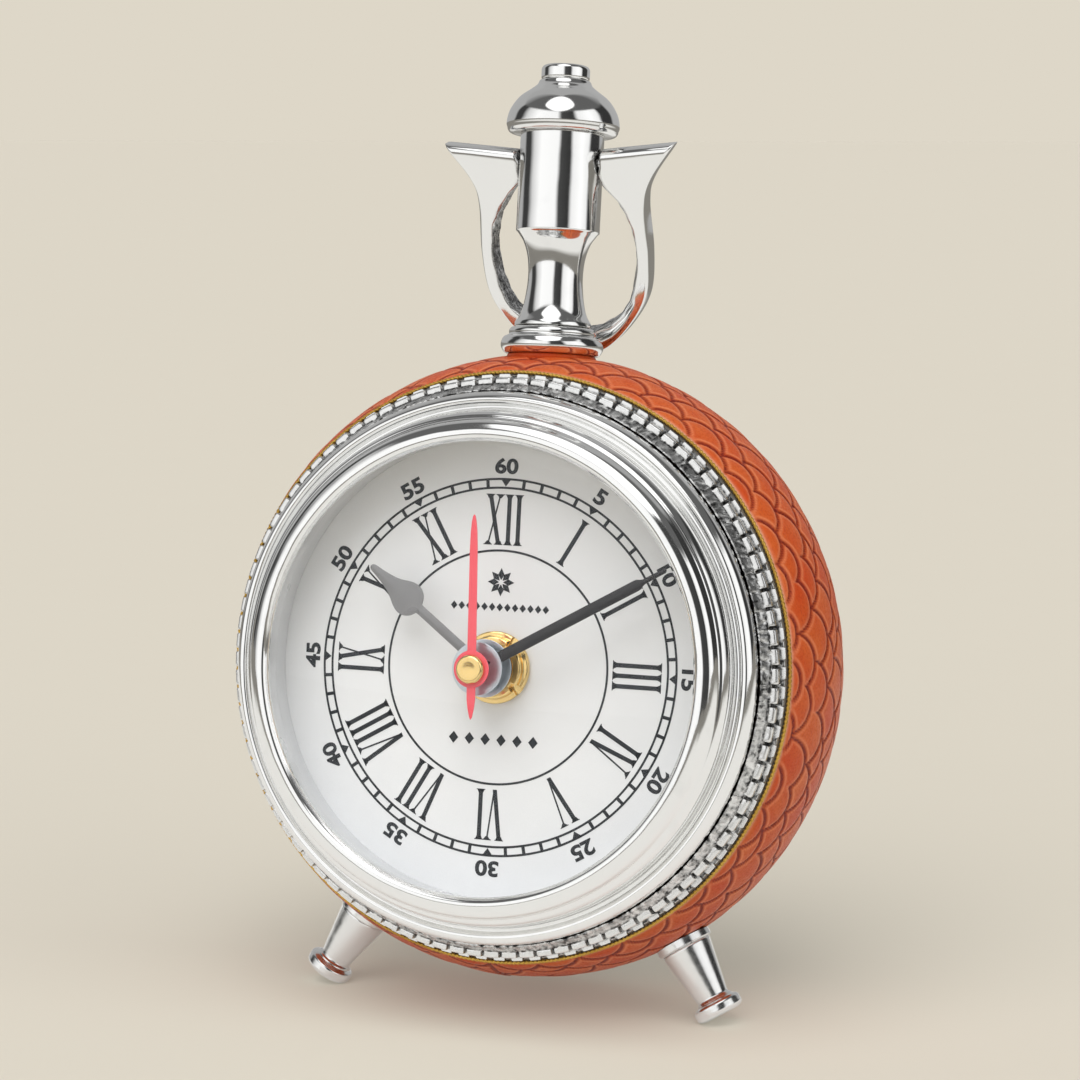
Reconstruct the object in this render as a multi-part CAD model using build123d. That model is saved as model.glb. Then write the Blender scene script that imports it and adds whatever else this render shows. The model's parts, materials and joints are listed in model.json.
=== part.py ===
from build123d import *
import math
import os

# A round table clock with a quartz movement, in millimetres.
#
# Everything is drawn in the clock's own upright frame: X to the right, Y up, Z forward out of the
# dial, with the dial's face at Z = 0 and its centre at the origin. place() then stands the clock on
# the table: +Z up, front towards -Y, leaning back by LEAN, lowest point of the feet at Z = 0.

# ---------------------------------------------------------------- driving dimensions
LEAN = 8.3                # the clock leans back by this angle, degrees
GAP = 0.3                 # air between pieces that move past each other
RUNNING = 0.05            # radial clearance of a shaft in its hole

DRUM_BORE_R = 50.8        # inside of the drum
DRUM_FRONT = -3.2         # front and rear faces of the drum, along Z
DRUM_REAR = -37.8
DRUM_MID = (DRUM_FRONT + DRUM_REAR) / 2
DRUM_EDGE_R = 53.7        # drum's outer radius at its faces and at its widest
DRUM_WIDE_R = 57.8
LEATHER = 1.2             # thickness of the leather wrap

DIAL_R = 44.0
DIAL_THICK = 0.6
PLATE_R = 50.6            # backing plate behind the dial
PLATE_REAR = -3.2
LIP_R = 41.0              # bezel's inner edge, which frames the dial
GLASS_R = 42.5
GLASS_THICK = 0.9
GLASS_EDGE = 9.7          # inner face of the glass at its rim, along Z
GLASS_RISE = 6.0          # how far the glass domes out at its centre

TOOTH_COUNT = 96          # teeth round the rim behind the bezel
TOOTH_GAP = 0.7
PIPING_R = 0.4
LEATHER_INSET = 1.0       # the leather ends this far behind the drum's faces

MOVEMENT = 56.0           # square housing of the movement
MOVEMENT_FRONT = -3.8
MOVEMENT_REAR = -19.8
WALL = 1.2
BATTERY_R = 7.1
BATTERY_LENGTH = 50.0

HOUR_TUBE_R = 2.25
MINUTE_TUBE_R = 1.25
SECOND_ARBOR_R = 0.6
HOUR_HAND_Z = 6.3
MINUTE_HAND_Z = 9.7
SECOND_HAND_Z = 12.6
HOUR_HAND_ANGLE = 306.9   # clockwise from twelve
MINUTE_HAND_ANGLE = 60.5
SECOND_HAND_ANGLE = 358.1

STEM_FOOT = 59.6          # underside of the stem's collar, along Y
COLLAR_TOP = 64.0
BARREL_R = 7.95
BARREL_TOP = 100.6
CAP_R = 10.8
CAP_TOP = 110.9
BUTTON_R = 4.65
BUTTON_TOP = 113.7
BOW_PIVOT = 95.2          # height of the bow's pins, along Y
BOW_TILT = 20.4           # at rest the bow lies back against the collar, degrees
BOW_THICK = 4.6
PIN_R = 1.2

LEG_ANGLE = 32.8          # front legs, either side of straight down
LEG_START = 60.2          # distances from the clock's axis along a leg
PAD_CENTRE = 72.8
PAD_R = 4.6
PAD_EDGE_R = 1.4          # roundness of a foot pad's rim
FOOT_FLAT = 0.25          # depth of the small flat that each pad rests on
LEG_TOP_R = 4.85
LEG_NECK_R = 3.05
REAR_LEG_Y = -40.5        # where the rear leg leaves the back plate
REAR_LEG_SLOPE = 51.0     # rear leg, backwards from straight down, degrees

BACK_PLATE_FRONT = -36.0
BACK_PLATE_REAR = -37.5
LID_R = 34.0
STUD_R = 1.6
STUD_STEP = 59.3          # height where the stem's stud grows wider, along Y


# ---------------------------------------------------------------- drawing helpers
def outline(start, *steps):
    """Closed face in XY: a step is a point for a straight line, or (middle, end) for an arc."""
    edges = []
    here = start
    for step in steps:
        if isinstance(step[0], tuple):
            edges.append(ThreePointArc(here, step[0], step[1]))
            here = step[1]
        else:
            edges.append(Line(here, step))
            here = step
    if here != start:
        edges.append(Line(here, start))
    return make_face(edges)


def ring(start, *steps):
    """Solid of revolution about the clock's axis, from an outline of (radius, z)."""
    return revolve(Plane.XZ * outline(start, *steps), Axis.Z)


def turned(start, *steps):
    """Solid of revolution about the Y axis, from an outline of (radius, y)."""
    return revolve(outline(start, *steps), Axis.Y)


def tube(outer, inner, z_low, z_high, x=0, y=0):
    """Round tube or disc along the clock's axis direction, between two Z values."""
    body = Pos(x, y, z_low) * extrude(Circle(outer), z_high - z_low)
    if inner:
        body -= Pos(x, y, z_low - 1) * extrude(Circle(inner), z_high - z_low + 2)
    return body


def block(x_low, x_high, y_low, y_high, z_low, z_high):
    """Box between two corners."""
    size = (x_high - x_low, y_high - y_low, z_high - z_low)
    return Pos(x_low, y_low, z_low) * Box(*size, align=(Align.MIN, Align.MIN, Align.MIN))


def upright(solid):
    """Moves a piece turned about Y onto the stem's axis, over the middle of the drum."""
    return Pos(0, 0, DRUM_MID) * solid


def radial(angle, solid):
    """Turns a piece drawn up the Y axis round the clock by an angle, and centres it on the drum."""
    return Pos(0, 0, DRUM_MID) * Rot(Z=angle) * solid


def clockwise(angle, solid):
    """Turns a piece drawn at twelve o'clock clockwise about the clock's axis."""
    return Rot(Z=-angle) * solid


# ---------------------------------------------------------------- drum, leather and rims
def barrel_outline(edge_r, wide_r, z_front, z_rear):
    """Outline of a bulged drum down to its axis."""
    return ring((0, z_front), (edge_r, z_front), ((wide_r, DRUM_MID), (edge_r, z_rear)), (0, z_rear))


STUD_ANGLES = (0, 180 - LEG_ANGLE, 180 + LEG_ANGLE)   # stem, and the two front legs

leather_outer = barrel_outline(
    DRUM_EDGE_R + LEATHER, DRUM_WIDE_R + LEATHER, DRUM_FRONT - LEATHER_INSET, DRUM_REAR + LEATHER_INSET
)
drum_outer = barrel_outline(DRUM_EDGE_R, DRUM_WIDE_R, DRUM_FRONT, DRUM_REAR)


def stud_holes(radius):
    """Radial holes through the drum's wall for the stem's and the legs' studs."""
    hole = Pos(0, 45, 0) * Rot(X=-90) * Cylinder(radius, 20, align=(Align.CENTER, Align.CENTER, Align.MIN))
    return [radial(angle, hole) for angle in STUD_ANGLES]


def make_drum():
    """Cast drum with an inner ledge at each end, for the dial's plate and for the back plate."""
    drum = drum_outer - tube(DRUM_BORE_R, 0, DRUM_REAR - 1, DRUM_FRONT + 1)
    drum += tube(DRUM_BORE_R + 1, 47.0, DRUM_FRONT - 2, DRUM_FRONT)
    drum += tube(DRUM_BORE_R + 1, 46.4, BACK_PLATE_FRONT, BACK_PLATE_FRONT + 3)
    drum -= stud_holes(STUD_R)
    for spot in back_screw_spots():
        drum -= tube(1.0, 0, BACK_PLATE_FRONT - 1, BACK_PLATE_FRONT + 4, *spot)
    return drum


def make_leather():
    """Leather wrap of even thickness over the drum's bulge."""
    return leather_outer - drum_outer - stud_holes(STUD_R)


def make_piping(face_z, inwards):
    """Twisted cord in the corner between the leather's edge and the drum, drawn as a plain round ring."""
    centre_r = DRUM_EDGE_R + PIPING_R + 0.35
    return Pos(0, 0, face_z + inwards * (LEATHER_INSET - PIPING_R - 0.02)) * Torus(centre_r, PIPING_R)


def make_toothed_ring():
    """Ring behind the bezel: a rough sloping land, then square teeth over its outer corner."""
    body = ring((50.7, -3.1), (50.7, 2.4), (52.0, 0.3), (53.2, 0.0), (53.2, -2.4), (53.6, -2.4), (53.6, -3.1))
    cutter = block(51.9, 53.5, -TOOTH_GAP / 2, TOOTH_GAP / 2, -2.3, 1)
    return body - [Rot(Z=360 / TOOTH_COUNT * step) * cutter for step in range(TOOTH_COUNT)]


def make_bezel():
    """Stepped and rounded polished bezel, with a lip over the glass and a skirt inside the toothed ring."""
    return ring(
        (LIP_R, 11.0), ((41.6, 11.85), (43.0, 12.1)), ((44.6, 11.2), (45.4, 9.4)), (45.9, 9.2),
        ((46.9, 8.3), (47.3, 6.6)), (47.5, 5.9), (47.9, 5.7), ((48.5, 5.5), (48.7, 4.9)),
        ((49.9, 4.3), (50.2, 2.9)), (50.55, 2.6), (50.55, 0.1), (49.0, 0.1), (49.0, 2.4),
        (46.6, 4.6), (44.6, 8.2), (42.8, 9.4), (42.8, 10.95),
    )


def make_rear_ring():
    """Plain rounded ring over the leather's rear edge."""
    return ring((50.9, -37.9), (54.3, -37.9), ((54.0, -39.0), (53.0, -39.4)), (51.6, -39.4), ((51.1, -39.1), (50.9, -38.6)))


# ---------------------------------------------------------------- glass and dial
def dome(edge_r, edge_z, rise):
    """Slice of a ball with its flat side at edge_z, of radius edge_r, and its top at edge_z + rise."""
    ball_r = (edge_r ** 2 + rise ** 2) / (2 * rise)
    ball = Pos(0, 0, edge_z + rise - ball_r) * Sphere(ball_r)
    return ball & tube(edge_r + 1, 0, edge_z, edge_z + rise + 1)


def make_glass():
    """Domed glass of even thickness, with a straight rim."""
    rim = tube(GLASS_R, 0, GLASS_EDGE, GLASS_EDGE + GLASS_THICK)
    outer = rim + dome(GLASS_R, GLASS_EDGE + GLASS_THICK, GLASS_RISE)
    return outer - dome(GLASS_R - 0.5, GLASS_EDGE, GLASS_RISE)


def make_gasket():
    """Flat ring between the glass and the reflector."""
    return tube(42.6, 41.5, GLASS_EDGE - 0.35, GLASS_EDGE - 0.02)


def make_reflector():
    """Sloping wall between the dial's edge and the glass."""
    return ring((42.6, 0), (41.7, 6.0), (41.5, 6.2), (41.5, GLASS_EDGE - 0.35), (42.6, GLASS_EDGE - 0.35), (43.9, 6.0), (43.9, 0))


def make_dial():
    """Thin dial with a hole for the movement's bush."""
    return tube(DIAL_R, 4.1, -DIAL_THICK, 0)


def make_mounting_plate():
    """Stiff plate that carries the dial and the movement, seated on the drum's front ledge."""
    return tube(PLATE_R, 4.1, PLATE_REAR, -DIAL_THICK)


# ---------------------------------------------------------------- back
def back_screw_spots():
    """Centres of the four screws that hold the back plate."""
    return [(48.6 * math.cos(math.radians(45 + 90 * i)), 48.6 * math.sin(math.radians(45 + 90 * i))) for i in range(4)]


def make_back_plate():
    """Round plate with a large opening onto the movement."""
    plate = tube(50.6, LID_R, BACK_PLATE_REAR, BACK_PLATE_FRONT)
    for spot in back_screw_spots():
        plate -= tube(1.1, 0, BACK_PLATE_REAR - 1, BACK_PLATE_FRONT + 1, *spot)
    return plate - tube(STUD_R, 0, BACK_PLATE_REAR - 1, BACK_PLATE_FRONT + 1, 0, REAR_LEG_Y)


def make_back_lid():
    """Lid that plugs the back plate's opening, with a raised grip bar across it."""
    lid = tube(LID_R - GAP, 0, BACK_PLATE_REAR, BACK_PLATE_FRONT)
    lid += tube(LID_R - 1.2, LID_R - 2.6, BACK_PLATE_FRONT, BACK_PLATE_FRONT + 3)
    lid += block(-12, 12, -1.5, 1.5, BACK_PLATE_REAR - 2.5, BACK_PLATE_REAR)
    return lid


def make_back_screws():
    """Four pan-head screws through the back plate into the drum's rear ledge."""
    screw = tube(2.0, 0, BACK_PLATE_REAR - 1.2, BACK_PLATE_REAR)
    screw += tube(1.0, 0, BACK_PLATE_REAR, BACK_PLATE_FRONT + 2.5)
    screw -= block(-2.5, 2.5, -0.25, 0.25, BACK_PLATE_REAR - 1.3, BACK_PLATE_REAR - 0.6)
    return Compound([Pos(x, y, 0) * screw for x, y in back_screw_spots()])


# ---------------------------------------------------------------- gear train
LAYER = 0.8               # thickness of a wheel
HOUR_LAYER = -6.1         # rear face of each layer of wheels, along Z
MOTION_LAYER = -7.2
CENTRE_LAYER = -8.3
THIRD_LAYER = -9.4
SECONDS_LAYER = -10.7
FIFTH_LAYER = -11.8
PIVOT_FRONT = -4.2
PIVOT_REAR = -15.1
BRIDGE_FRONT = -14.6
BRIDGE_REAR = -15.6

MOTION_MODULE = 0.3       # cannon pinion 12, motion wheel 36, knob pinion 12
HOUR_MODULE = 0.288       # motion pinion 10, hour wheel 40
CENTRE_MODULE = 0.245     # centre wheel 64, third pinion 8
THIRD_MODULE = 36 * CENTRE_MODULE / 34   # third wheel 60, seconds pinion 8
SECONDS_MODULE = 0.24     # seconds wheel 60, fifth pinion 12
ROTOR_MODULE = 0.22       # fifth wheel 60, rotor pinion 10

MOTION_DIRECTION = 200.0  # where each arbor stands, seen from the wheel before it
KNOB_DIRECTION = 180.0
THIRD_DIRECTION = 60.0
FIFTH_DIRECTION = 150.0
ROTOR_DIRECTION = 135.0


def stepped_off(start, distance, direction):
    """Point at a distance and direction in degrees from another point."""
    turn = math.radians(direction)
    return (start[0] + distance * math.cos(turn), start[1] + distance * math.sin(turn))


CENTRE = (0.0, 0.0)
MOTION = stepped_off(CENTRE, 24 * MOTION_MODULE, MOTION_DIRECTION)
KNOB = stepped_off(MOTION, 24 * MOTION_MODULE, KNOB_DIRECTION)
THIRD = stepped_off(CENTRE, 36 * CENTRE_MODULE, THIRD_DIRECTION)
FIFTH = stepped_off(CENTRE, 36 * SECONDS_MODULE, FIFTH_DIRECTION)
ROTOR = stepped_off(FIFTH, 35 * ROTOR_MODULE, ROTOR_DIRECTION)


def mesh_phase(phase, teeth, other_teeth, direction):
    """Phase in degrees of the second wheel of a pair, so that its gap faces the first wheel's tooth."""
    pitch = 360 / teeth
    other_pitch = 360 / other_teeth
    share = ((direction - phase) / pitch) % 1
    return direction + 180 - other_pitch * (0.5 - share)


def gear(teeth, module, z_low, spot=CENTRE, phase=0.0, bore=0.0):
    """Toothed wheel with slim teeth, which leave backlash at every phase."""
    pitch_r = teeth * module / 2
    pitch = math.tau / teeth
    corners = []
    for index in range(teeth):
        middle = math.radians(phase) + index * pitch
        flank = ((-0.24, -1.15), (-0.08, 0.85), (0.08, 0.85), (0.24, -1.15))
        for share, height in flank:
            turn = middle + share * pitch
            radius = pitch_r + height * module
            corners.append((radius * math.cos(turn), radius * math.sin(turn)))
    face = make_face(Polyline(*corners, close=True))
    if bore:
        face -= Circle(bore)
    return Pos(spot[0], spot[1], z_low) * extrude(face, LAYER)


def arbor(spot, radius, z_low, z_high):
    """Plain round arbor."""
    return tube(radius, 0, z_low, z_high, *spot)


MOTION_PHASE = mesh_phase(0, 12, 36, MOTION_DIRECTION)


def make_hour_wheel():
    """Hour wheel and its pipe, the outermost of the three that turn through the bush."""
    wheel = gear(40, HOUR_MODULE, HOUR_LAYER, bore=MINUTE_TUBE_R + RUNNING)
    return wheel + tube(HOUR_TUBE_R, MINUTE_TUBE_R + RUNNING, HOUR_LAYER, HOUR_HAND_Z + 0.5)


def make_cannon_pinion():
    """Cannon pinion and the minute pipe, inside the hour pipe."""
    pinion = gear(12, MOTION_MODULE, MOTION_LAYER, bore=SECOND_ARBOR_R + RUNNING)
    return pinion + tube(MINUTE_TUBE_R, SECOND_ARBOR_R + RUNNING, CENTRE_LAYER, MINUTE_HAND_Z + 0.5)


def make_centre_wheel():
    """Centre wheel, a friction fit on the minute pipe."""
    return gear(64, CENTRE_MODULE, CENTRE_LAYER, bore=MINUTE_TUBE_R)


def make_motion_wheel():
    """Motion wheel and pinion, which slow the minute pipe down to the hour wheel."""
    phase = mesh_phase(0, 40, 10, MOTION_DIRECTION)
    wheel = gear(36, MOTION_MODULE, MOTION_LAYER, MOTION, MOTION_PHASE)
    wheel += gear(10, HOUR_MODULE, HOUR_LAYER, MOTION, phase)
    return wheel + arbor(MOTION, 0.5, MOTION_LAYER - 0.1, PIVOT_FRONT)


def make_setting_knob():
    """Knob on the back of the movement, with a long arbor and a pinion in mesh with the motion wheel."""
    phase = mesh_phase(MOTION_PHASE, 36, 12, KNOB_DIRECTION)
    knob = gear(12, MOTION_MODULE, MOTION_LAYER, KNOB, phase)
    knob += arbor(KNOB, 0.8, -22.0, PIVOT_FRONT)
    knob += tube(5.5, 0, -24.6, -21.3, *KNOB)
    for step in range(24):
        groove = Pos(KNOB[0], KNOB[1], 0) * Rot(Z=15 * step) * block(5.2, 6, -0.3, 0.3, -25, -21)
        knob -= groove
    return knob


def make_third_wheel():
    """Third wheel and pinion, between the seconds wheel and the centre wheel."""
    wheel = gear(60, THIRD_MODULE, THIRD_LAYER, THIRD, mesh_phase(0, 8, 60, THIRD_DIRECTION))
    wheel += gear(8, CENTRE_MODULE, CENTRE_LAYER, THIRD, mesh_phase(0, 64, 8, THIRD_DIRECTION))
    return wheel + arbor(THIRD, 0.35, PIVOT_REAR, PIVOT_FRONT)


def make_seconds_wheel():
    """Seconds wheel on the long centre arbor that carries the second hand."""
    wheel = gear(60, SECONDS_MODULE, SECONDS_LAYER)
    wheel += gear(8, THIRD_MODULE, THIRD_LAYER)
    return wheel + arbor(CENTRE, SECOND_ARBOR_R, PIVOT_REAR, SECOND_HAND_Z + 0.4)


def make_fifth_wheel():
    """First reduction wheel, driven by the rotor's pinion."""
    wheel = gear(60, ROTOR_MODULE, FIFTH_LAYER, FIFTH)
    wheel += gear(12, SECONDS_MODULE, SECONDS_LAYER, FIFTH, mesh_phase(0, 60, 12, FIFTH_DIRECTION))
    return wheel + arbor(FIFTH, 0.35, PIVOT_REAR, PIVOT_FRONT)


def make_rotor():
    """Magnet rotor of the stepping motor, with its pinion."""
    rotor = gear(10, ROTOR_MODULE, FIFTH_LAYER, ROTOR, mesh_phase(0, 60, 10, ROTOR_DIRECTION))
    rotor += tube(2.6, 0, -14.2, -12.2, *ROTOR)
    return rotor + arbor(ROTOR, 0.35, PIVOT_REAR, PIVOT_FRONT)


# ---------------------------------------------------------------- movement
BAY_TOP = -11.0           # wall between the gear train and the battery bay
HALF = MOVEMENT / 2


def make_movement_case():
    """Housing: a tray open at the rear, with a wall above the battery bay and the pivot holes."""
    case = block(-HALF, HALF, -HALF, HALF, MOVEMENT_REAR, MOVEMENT_FRONT)
    inner = HALF - WALL
    case -= block(-inner, inner, BAY_TOP, inner, MOVEMENT_REAR - 1, MOVEMENT_FRONT - WALL)
    case -= block(-inner, inner, -inner, BAY_TOP - WALL, MOVEMENT_REAR - 1, MOVEMENT_FRONT - WALL)
    case -= tube(3.9, 0, MOVEMENT_REAR, MOVEMENT_FRONT + 1)
    for spot, radius in ((MOTION, 0.5), (KNOB, 0.8), (THIRD, 0.35), (FIFTH, 0.35), (ROTOR, 0.35)):
        case -= arbor(spot, radius + RUNNING, MOVEMENT_FRONT - WALL - 1, PIVOT_FRONT + 0.1)
    return case


def make_movement_cover():
    """Flat cover over the gear train, with a hole for the setting knob's arbor."""
    cover = block(-HALF, HALF, BAY_TOP - WALL, HALF, MOVEMENT_REAR - WALL, MOVEMENT_REAR)
    return cover - arbor(KNOB, 0.8 + RUNNING, MOVEMENT_REAR - 2, MOVEMENT_REAR + 1)


def make_train_bridge():
    """Plate that holds the rear pivots of the train, on four pillars from the cover."""
    bridge = block(-20, 13, -9.5, 14, BRIDGE_REAR, BRIDGE_FRONT)
    for spot in ((-18.5, -8), (11.5, -8), (11.5, 12.5)):
        bridge += tube(1.2, 0, MOVEMENT_REAR, BRIDGE_REAR, *spot)
    for spot, radius in ((CENTRE, SECOND_ARBOR_R), (THIRD, 0.35), (FIFTH, 0.35), (ROTOR, 0.35), (KNOB, 0.8)):
        bridge -= arbor(spot, radius + RUNNING, BRIDGE_REAR - 1, BRIDGE_FRONT + 1)
    return bridge


def make_centre_bush():
    """Threaded brass bush through the dial, drawn with a plain outside."""
    return tube(3.9, HOUR_TUBE_R + RUNNING, MOVEMENT_FRONT - WALL, 4.4)


def make_rubber_washer():
    """Rubber washer between the movement and the plate."""
    return tube(12, 4.1, MOVEMENT_FRONT, PLATE_REAR)


def make_dial_washer():
    """Thin brass washer on the dial's face."""
    return tube(6.3, 4.0, 0, 0.4)


def make_dial_nut():
    """Round flanged brass nut with four spanner slots."""
    nut = tube(6.7, 3.95, 0.4, 1.5) + tube(5.75, 3.95, 1.5, 3.2)
    slot = block(4.9, 7.0, -0.7, 0.7, 0.9, 3.3)
    return nut - [Rot(Z=52 + 90 * step) * slot for step in range(4)]


def make_stator():
    """Soft-iron stator plate round the rotor, with the bar that the coil is wound on."""
    plate = block(-22.5, -18.5, 6.5, 21.3, -13.6, -12.8)
    plate += block(-7.3, -3.3, 6.5, 21.3, -13.6, -12.8)
    plate += block(-19, -7, 6.5, 13, -13.6, -12.8)
    plate += block(-22.5, -3.3, 18.5, 20.1, -13.6, -12.8)
    return plate - tube(3.2, 0, -14, -12, *ROTOR)


def make_coil():
    """Copper winding between two bobbin cheeks, along X."""
    winding = Rot(Y=90) * Cylinder(3.0, 10.6)
    cheeks = [Pos(side * 5.0, 0, 0) * Rot(Y=90) * Cylinder(3.5, 0.8) for side in (-1, 1)]
    bore = Rot(Y=90) * Cylinder(1.3, 12)
    return Pos(-12.9, 19.3, -13.2) * (winding + cheeks - bore)


def make_circuit_board():
    """Small board with the driver chip under a drop of resin."""
    board = block(2, 24, 16.5, 26, -15.0, -14.2)
    return board + Pos(9, 21.5, -15.0) * Cylinder(3, 1.2, align=(Align.CENTER, Align.CENTER, Align.MAX))


def make_quartz_crystal():
    """Metal can of the quartz crystal, lying on the board."""
    return Pos(18, 21.3, -16.6) * Rot(Y=90) * Cylinder(1.5, 6.5)


BATTERY_Y = -19.6
BATTERY_Z = -12.4


def make_battery():
    """Round cell with its raised positive end, lying along X."""
    cell = Rot(Y=90) * Cylinder(BATTERY_R, BATTERY_LENGTH - 1)
    tip = Pos(BATTERY_LENGTH / 2, 0, 0) * Rot(Y=90) * Cylinder(2.7, 1)
    return Pos(-0.5, BATTERY_Y, BATTERY_Z) * (cell + tip)


def make_battery_contacts():
    """Two spring strips at the ends of the battery bay."""
    plus = block(25.2, 25.6, BATTERY_Y - 5, BATTERY_Y + 5, BATTERY_Z - 5, BATTERY_Z + 5)
    minus = block(-26.6, -26.2, BATTERY_Y - 5, BATTERY_Y + 5, BATTERY_Z - 5, BATTERY_Z + 5)
    minus += Pos(-25.85, BATTERY_Y, BATTERY_Z) * Rot(Y=90) * Cone(3.5, 2.2, 0.7)
    return Compound([plus, minus])


# ---------------------------------------------------------------- hands
def make_hour_hand():
    """Spade hand: a narrow arm, a round swelling and a tapering tip, on a disc with a collar."""
    low = HOUR_HAND_Z - 0.2
    arm = outline((-0.9, 3), (-0.9, 16.8), ((-2.85, 19.4), (-1.55, 22.6)), (-0.75, 26.2), ((0, 29.1), (0.75, 26.2)),
                  (1.55, 22.6), ((2.85, 19.4), (0.9, 16.8)), (0.9, 3))
    hand = Pos(0, 0, low) * extrude(arm, 0.4)
    hand += tube(5.3, HOUR_TUBE_R, low, low + 0.4)
    hand += tube(3.0, HOUR_TUBE_R, low - 1.2, low)
    return clockwise(HOUR_HAND_ANGLE, hand - tube(HOUR_TUBE_R, 0, low - 2, low + 2))


def make_minute_hand():
    """Long bar hand with a short narrow tip, on a disc with a collar."""
    low = MINUTE_HAND_Z - 0.175
    arm = outline((-1.0, 2), (-1.0, 34.2), (-0.45, 35.0), (-0.35, 39.6), ((0, 39.9), (0.35, 39.6)), (0.45, 35.0),
                  (1.0, 34.2), (1.0, 2))
    hand = Pos(0, 0, low) * extrude(arm, 0.35)
    hand += tube(4.85, MINUTE_TUBE_R, low, low + 0.35)
    hand += tube(2.4, MINUTE_TUBE_R, low - 1.0, low)
    return clockwise(MINUTE_HAND_ANGLE, hand - tube(MINUTE_TUBE_R, 0, low - 2, low + 2))


def make_second_hand():
    """Slim hand with a short tail and a round boss."""
    low = SECOND_HAND_Z - 0.15
    arm = outline((-0.75, -6.2), (-0.85, 0), (-0.65, 25.2), ((0, 27.7), (0.65, 25.2)), (0.85, 0), (0.75, -6.2),
                  ((0, -9.0), (-0.75, -6.2)))
    hand = Pos(0, 0, low) * extrude(arm, 0.3)
    hand += tube(3.4, 0, low, low + 0.3)
    return clockwise(SECOND_HAND_ANGLE, hand - tube(SECOND_ARBOR_R, 0, low - 1, low + 1))


def make_second_cap():
    """Low domed brass cap over the end of the centre arbor."""
    low = SECOND_HAND_Z + 0.15
    cap = ring((0, low), (2.65, low), (2.65, low + 0.8), ((2.3, low + 1.25), (1.6, low + 1.4)), (0, low + 1.4))
    return cap - tube(SECOND_ARBOR_R, 0, low - 1, SECOND_HAND_Z + 0.4)


# ---------------------------------------------------------------- stem and bow
def make_stem_washer():
    """Leather pad that fills the curve between the drum and the collar's flat underside."""
    pad = upright(turned((0, 55), (9.4, 55), (9.4, STEM_FOOT), (0, STEM_FOOT)))
    return pad - leather_outer - upright(turned((0, 50), (2, 50), (2, 62), (0, 62)))


def make_stem_collar():
    """Rounded collar at the foot of the stem."""
    return upright(turned((2, STEM_FOOT), (9.2, STEM_FOOT), ((9.8, 60.9), (9.0, 62.2)), ((8.2, 62.7), (7.9, 63.3)),
                          (7.7, COLLAR_TOP), (2, COLLAR_TOP)))


def make_stem_post():
    """Turned post: flared foot, narrow neck, coned shoulder and straight barrel."""
    post = turned(
        (0, COLLAR_TOP + 8), (2, COLLAR_TOP + 8), (2, COLLAR_TOP), (7.3, COLLAR_TOP), (7.3, COLLAR_TOP + 0.8),
        ((5.75, 68.6), (5.2, 74.0)), (5.6, 77.8), ((6.3, 80.4), (BARREL_R, 82.3)), (BARREL_R, BARREL_TOP),
        (0, BARREL_TOP),
    )
    hole = Rot(Y=90) * Cylinder(PIN_R, 30)
    socket = Pos(0, BOW_PIVOT, 0) * (hole - Box(9, 9, 9))
    return upright(post - socket)


def make_stem_cap():
    """Domed cap with a turned-under rim, sweeping in to the button's seat."""
    return upright(turned(
        (0, BARREL_TOP), (9.8, BARREL_TOP), (10.0, 101.1), (10.7, 101.3), ((CAP_R, 103.2), (9.9, 105.4)),
        ((8.0, 107.8), (6.1, 109.2)), ((5.3, 109.9), (4.9, CAP_TOP)), (0, CAP_TOP),
    ))


def make_stem_button():
    """Fixed button on top of the cap, with a shallow dish."""
    return upright(turned(
        (0, CAP_TOP), (BUTTON_R - 0.3, CAP_TOP), (BUTTON_R, CAP_TOP + 0.4), (BUTTON_R, BUTTON_TOP - 0.6),
        ((BUTTON_R - 0.2, BUTTON_TOP - 0.15), (BUTTON_R - 0.7, BUTTON_TOP)), (3.4, BUTTON_TOP),
        ((2.7, BUTTON_TOP - 0.3), (1.6, BUTTON_TOP - 0.45)), (0, BUTTON_TOP - 0.45),
    ))


def make_bow_pins():
    """Two pins fixed in the barrel, on which the bow swings."""
    pin = Rot(Y=90) * Cylinder(PIN_R, 6.7, align=(Align.CENTER, Align.CENTER, Align.MIN))
    pins = [Rot(Y=180 * side) * Pos(4.5, 0, 0) * pin for side in (0, 1)]
    return Compound([upright(Pos(0, BOW_PIVOT, 0) * piece) for piece in pins])


def make_bow():
    """Lyre-shaped bow: a closed loop behind the neck, ending in two flared horns above its pivots."""
    half = Spline((0, -37.6), (6.4, -36.2), (11.7, -31.8), (15.95, -25.2), (17.05, -16.9), (16.85, -7.4), (18.2, -2.6),
                  (23.2, 4.1), tangents=((1, 0), (1, 1.1)))
    tip = Line((23.2, 4.1), (22.7, 4.9))
    top = Spline((22.7, 4.9), (15.0, 3.3), (8.3, 2.6), tangents=((-1, -0.15), (-1, -0.05)))
    end = Line((8.3, 2.6), (8.3, -3.0))
    inner = Spline((8.3, -3.0), (12.5, -8.5), (14.4, -14.9), (13.65, -22.9), (10.8, -28.3), (5.0, -31.8), (0, -32.4),
                   tangents=((0.9, -1), (-1, 0)))
    close = Line((0, -32.4), (0, -37.6))
    right = extrude(make_face([half, tip, top, end, inner, close]), BOW_THICK / 2, both=True)
    loop = right + mirror(right, Plane.YZ)
    bores = Rot(Y=90) * Cylinder(PIN_R + RUNNING, 24)
    return upright(Pos(0, BOW_PIVOT, 0) * Rot(X=BOW_TILT) * (loop - bores))


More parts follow.
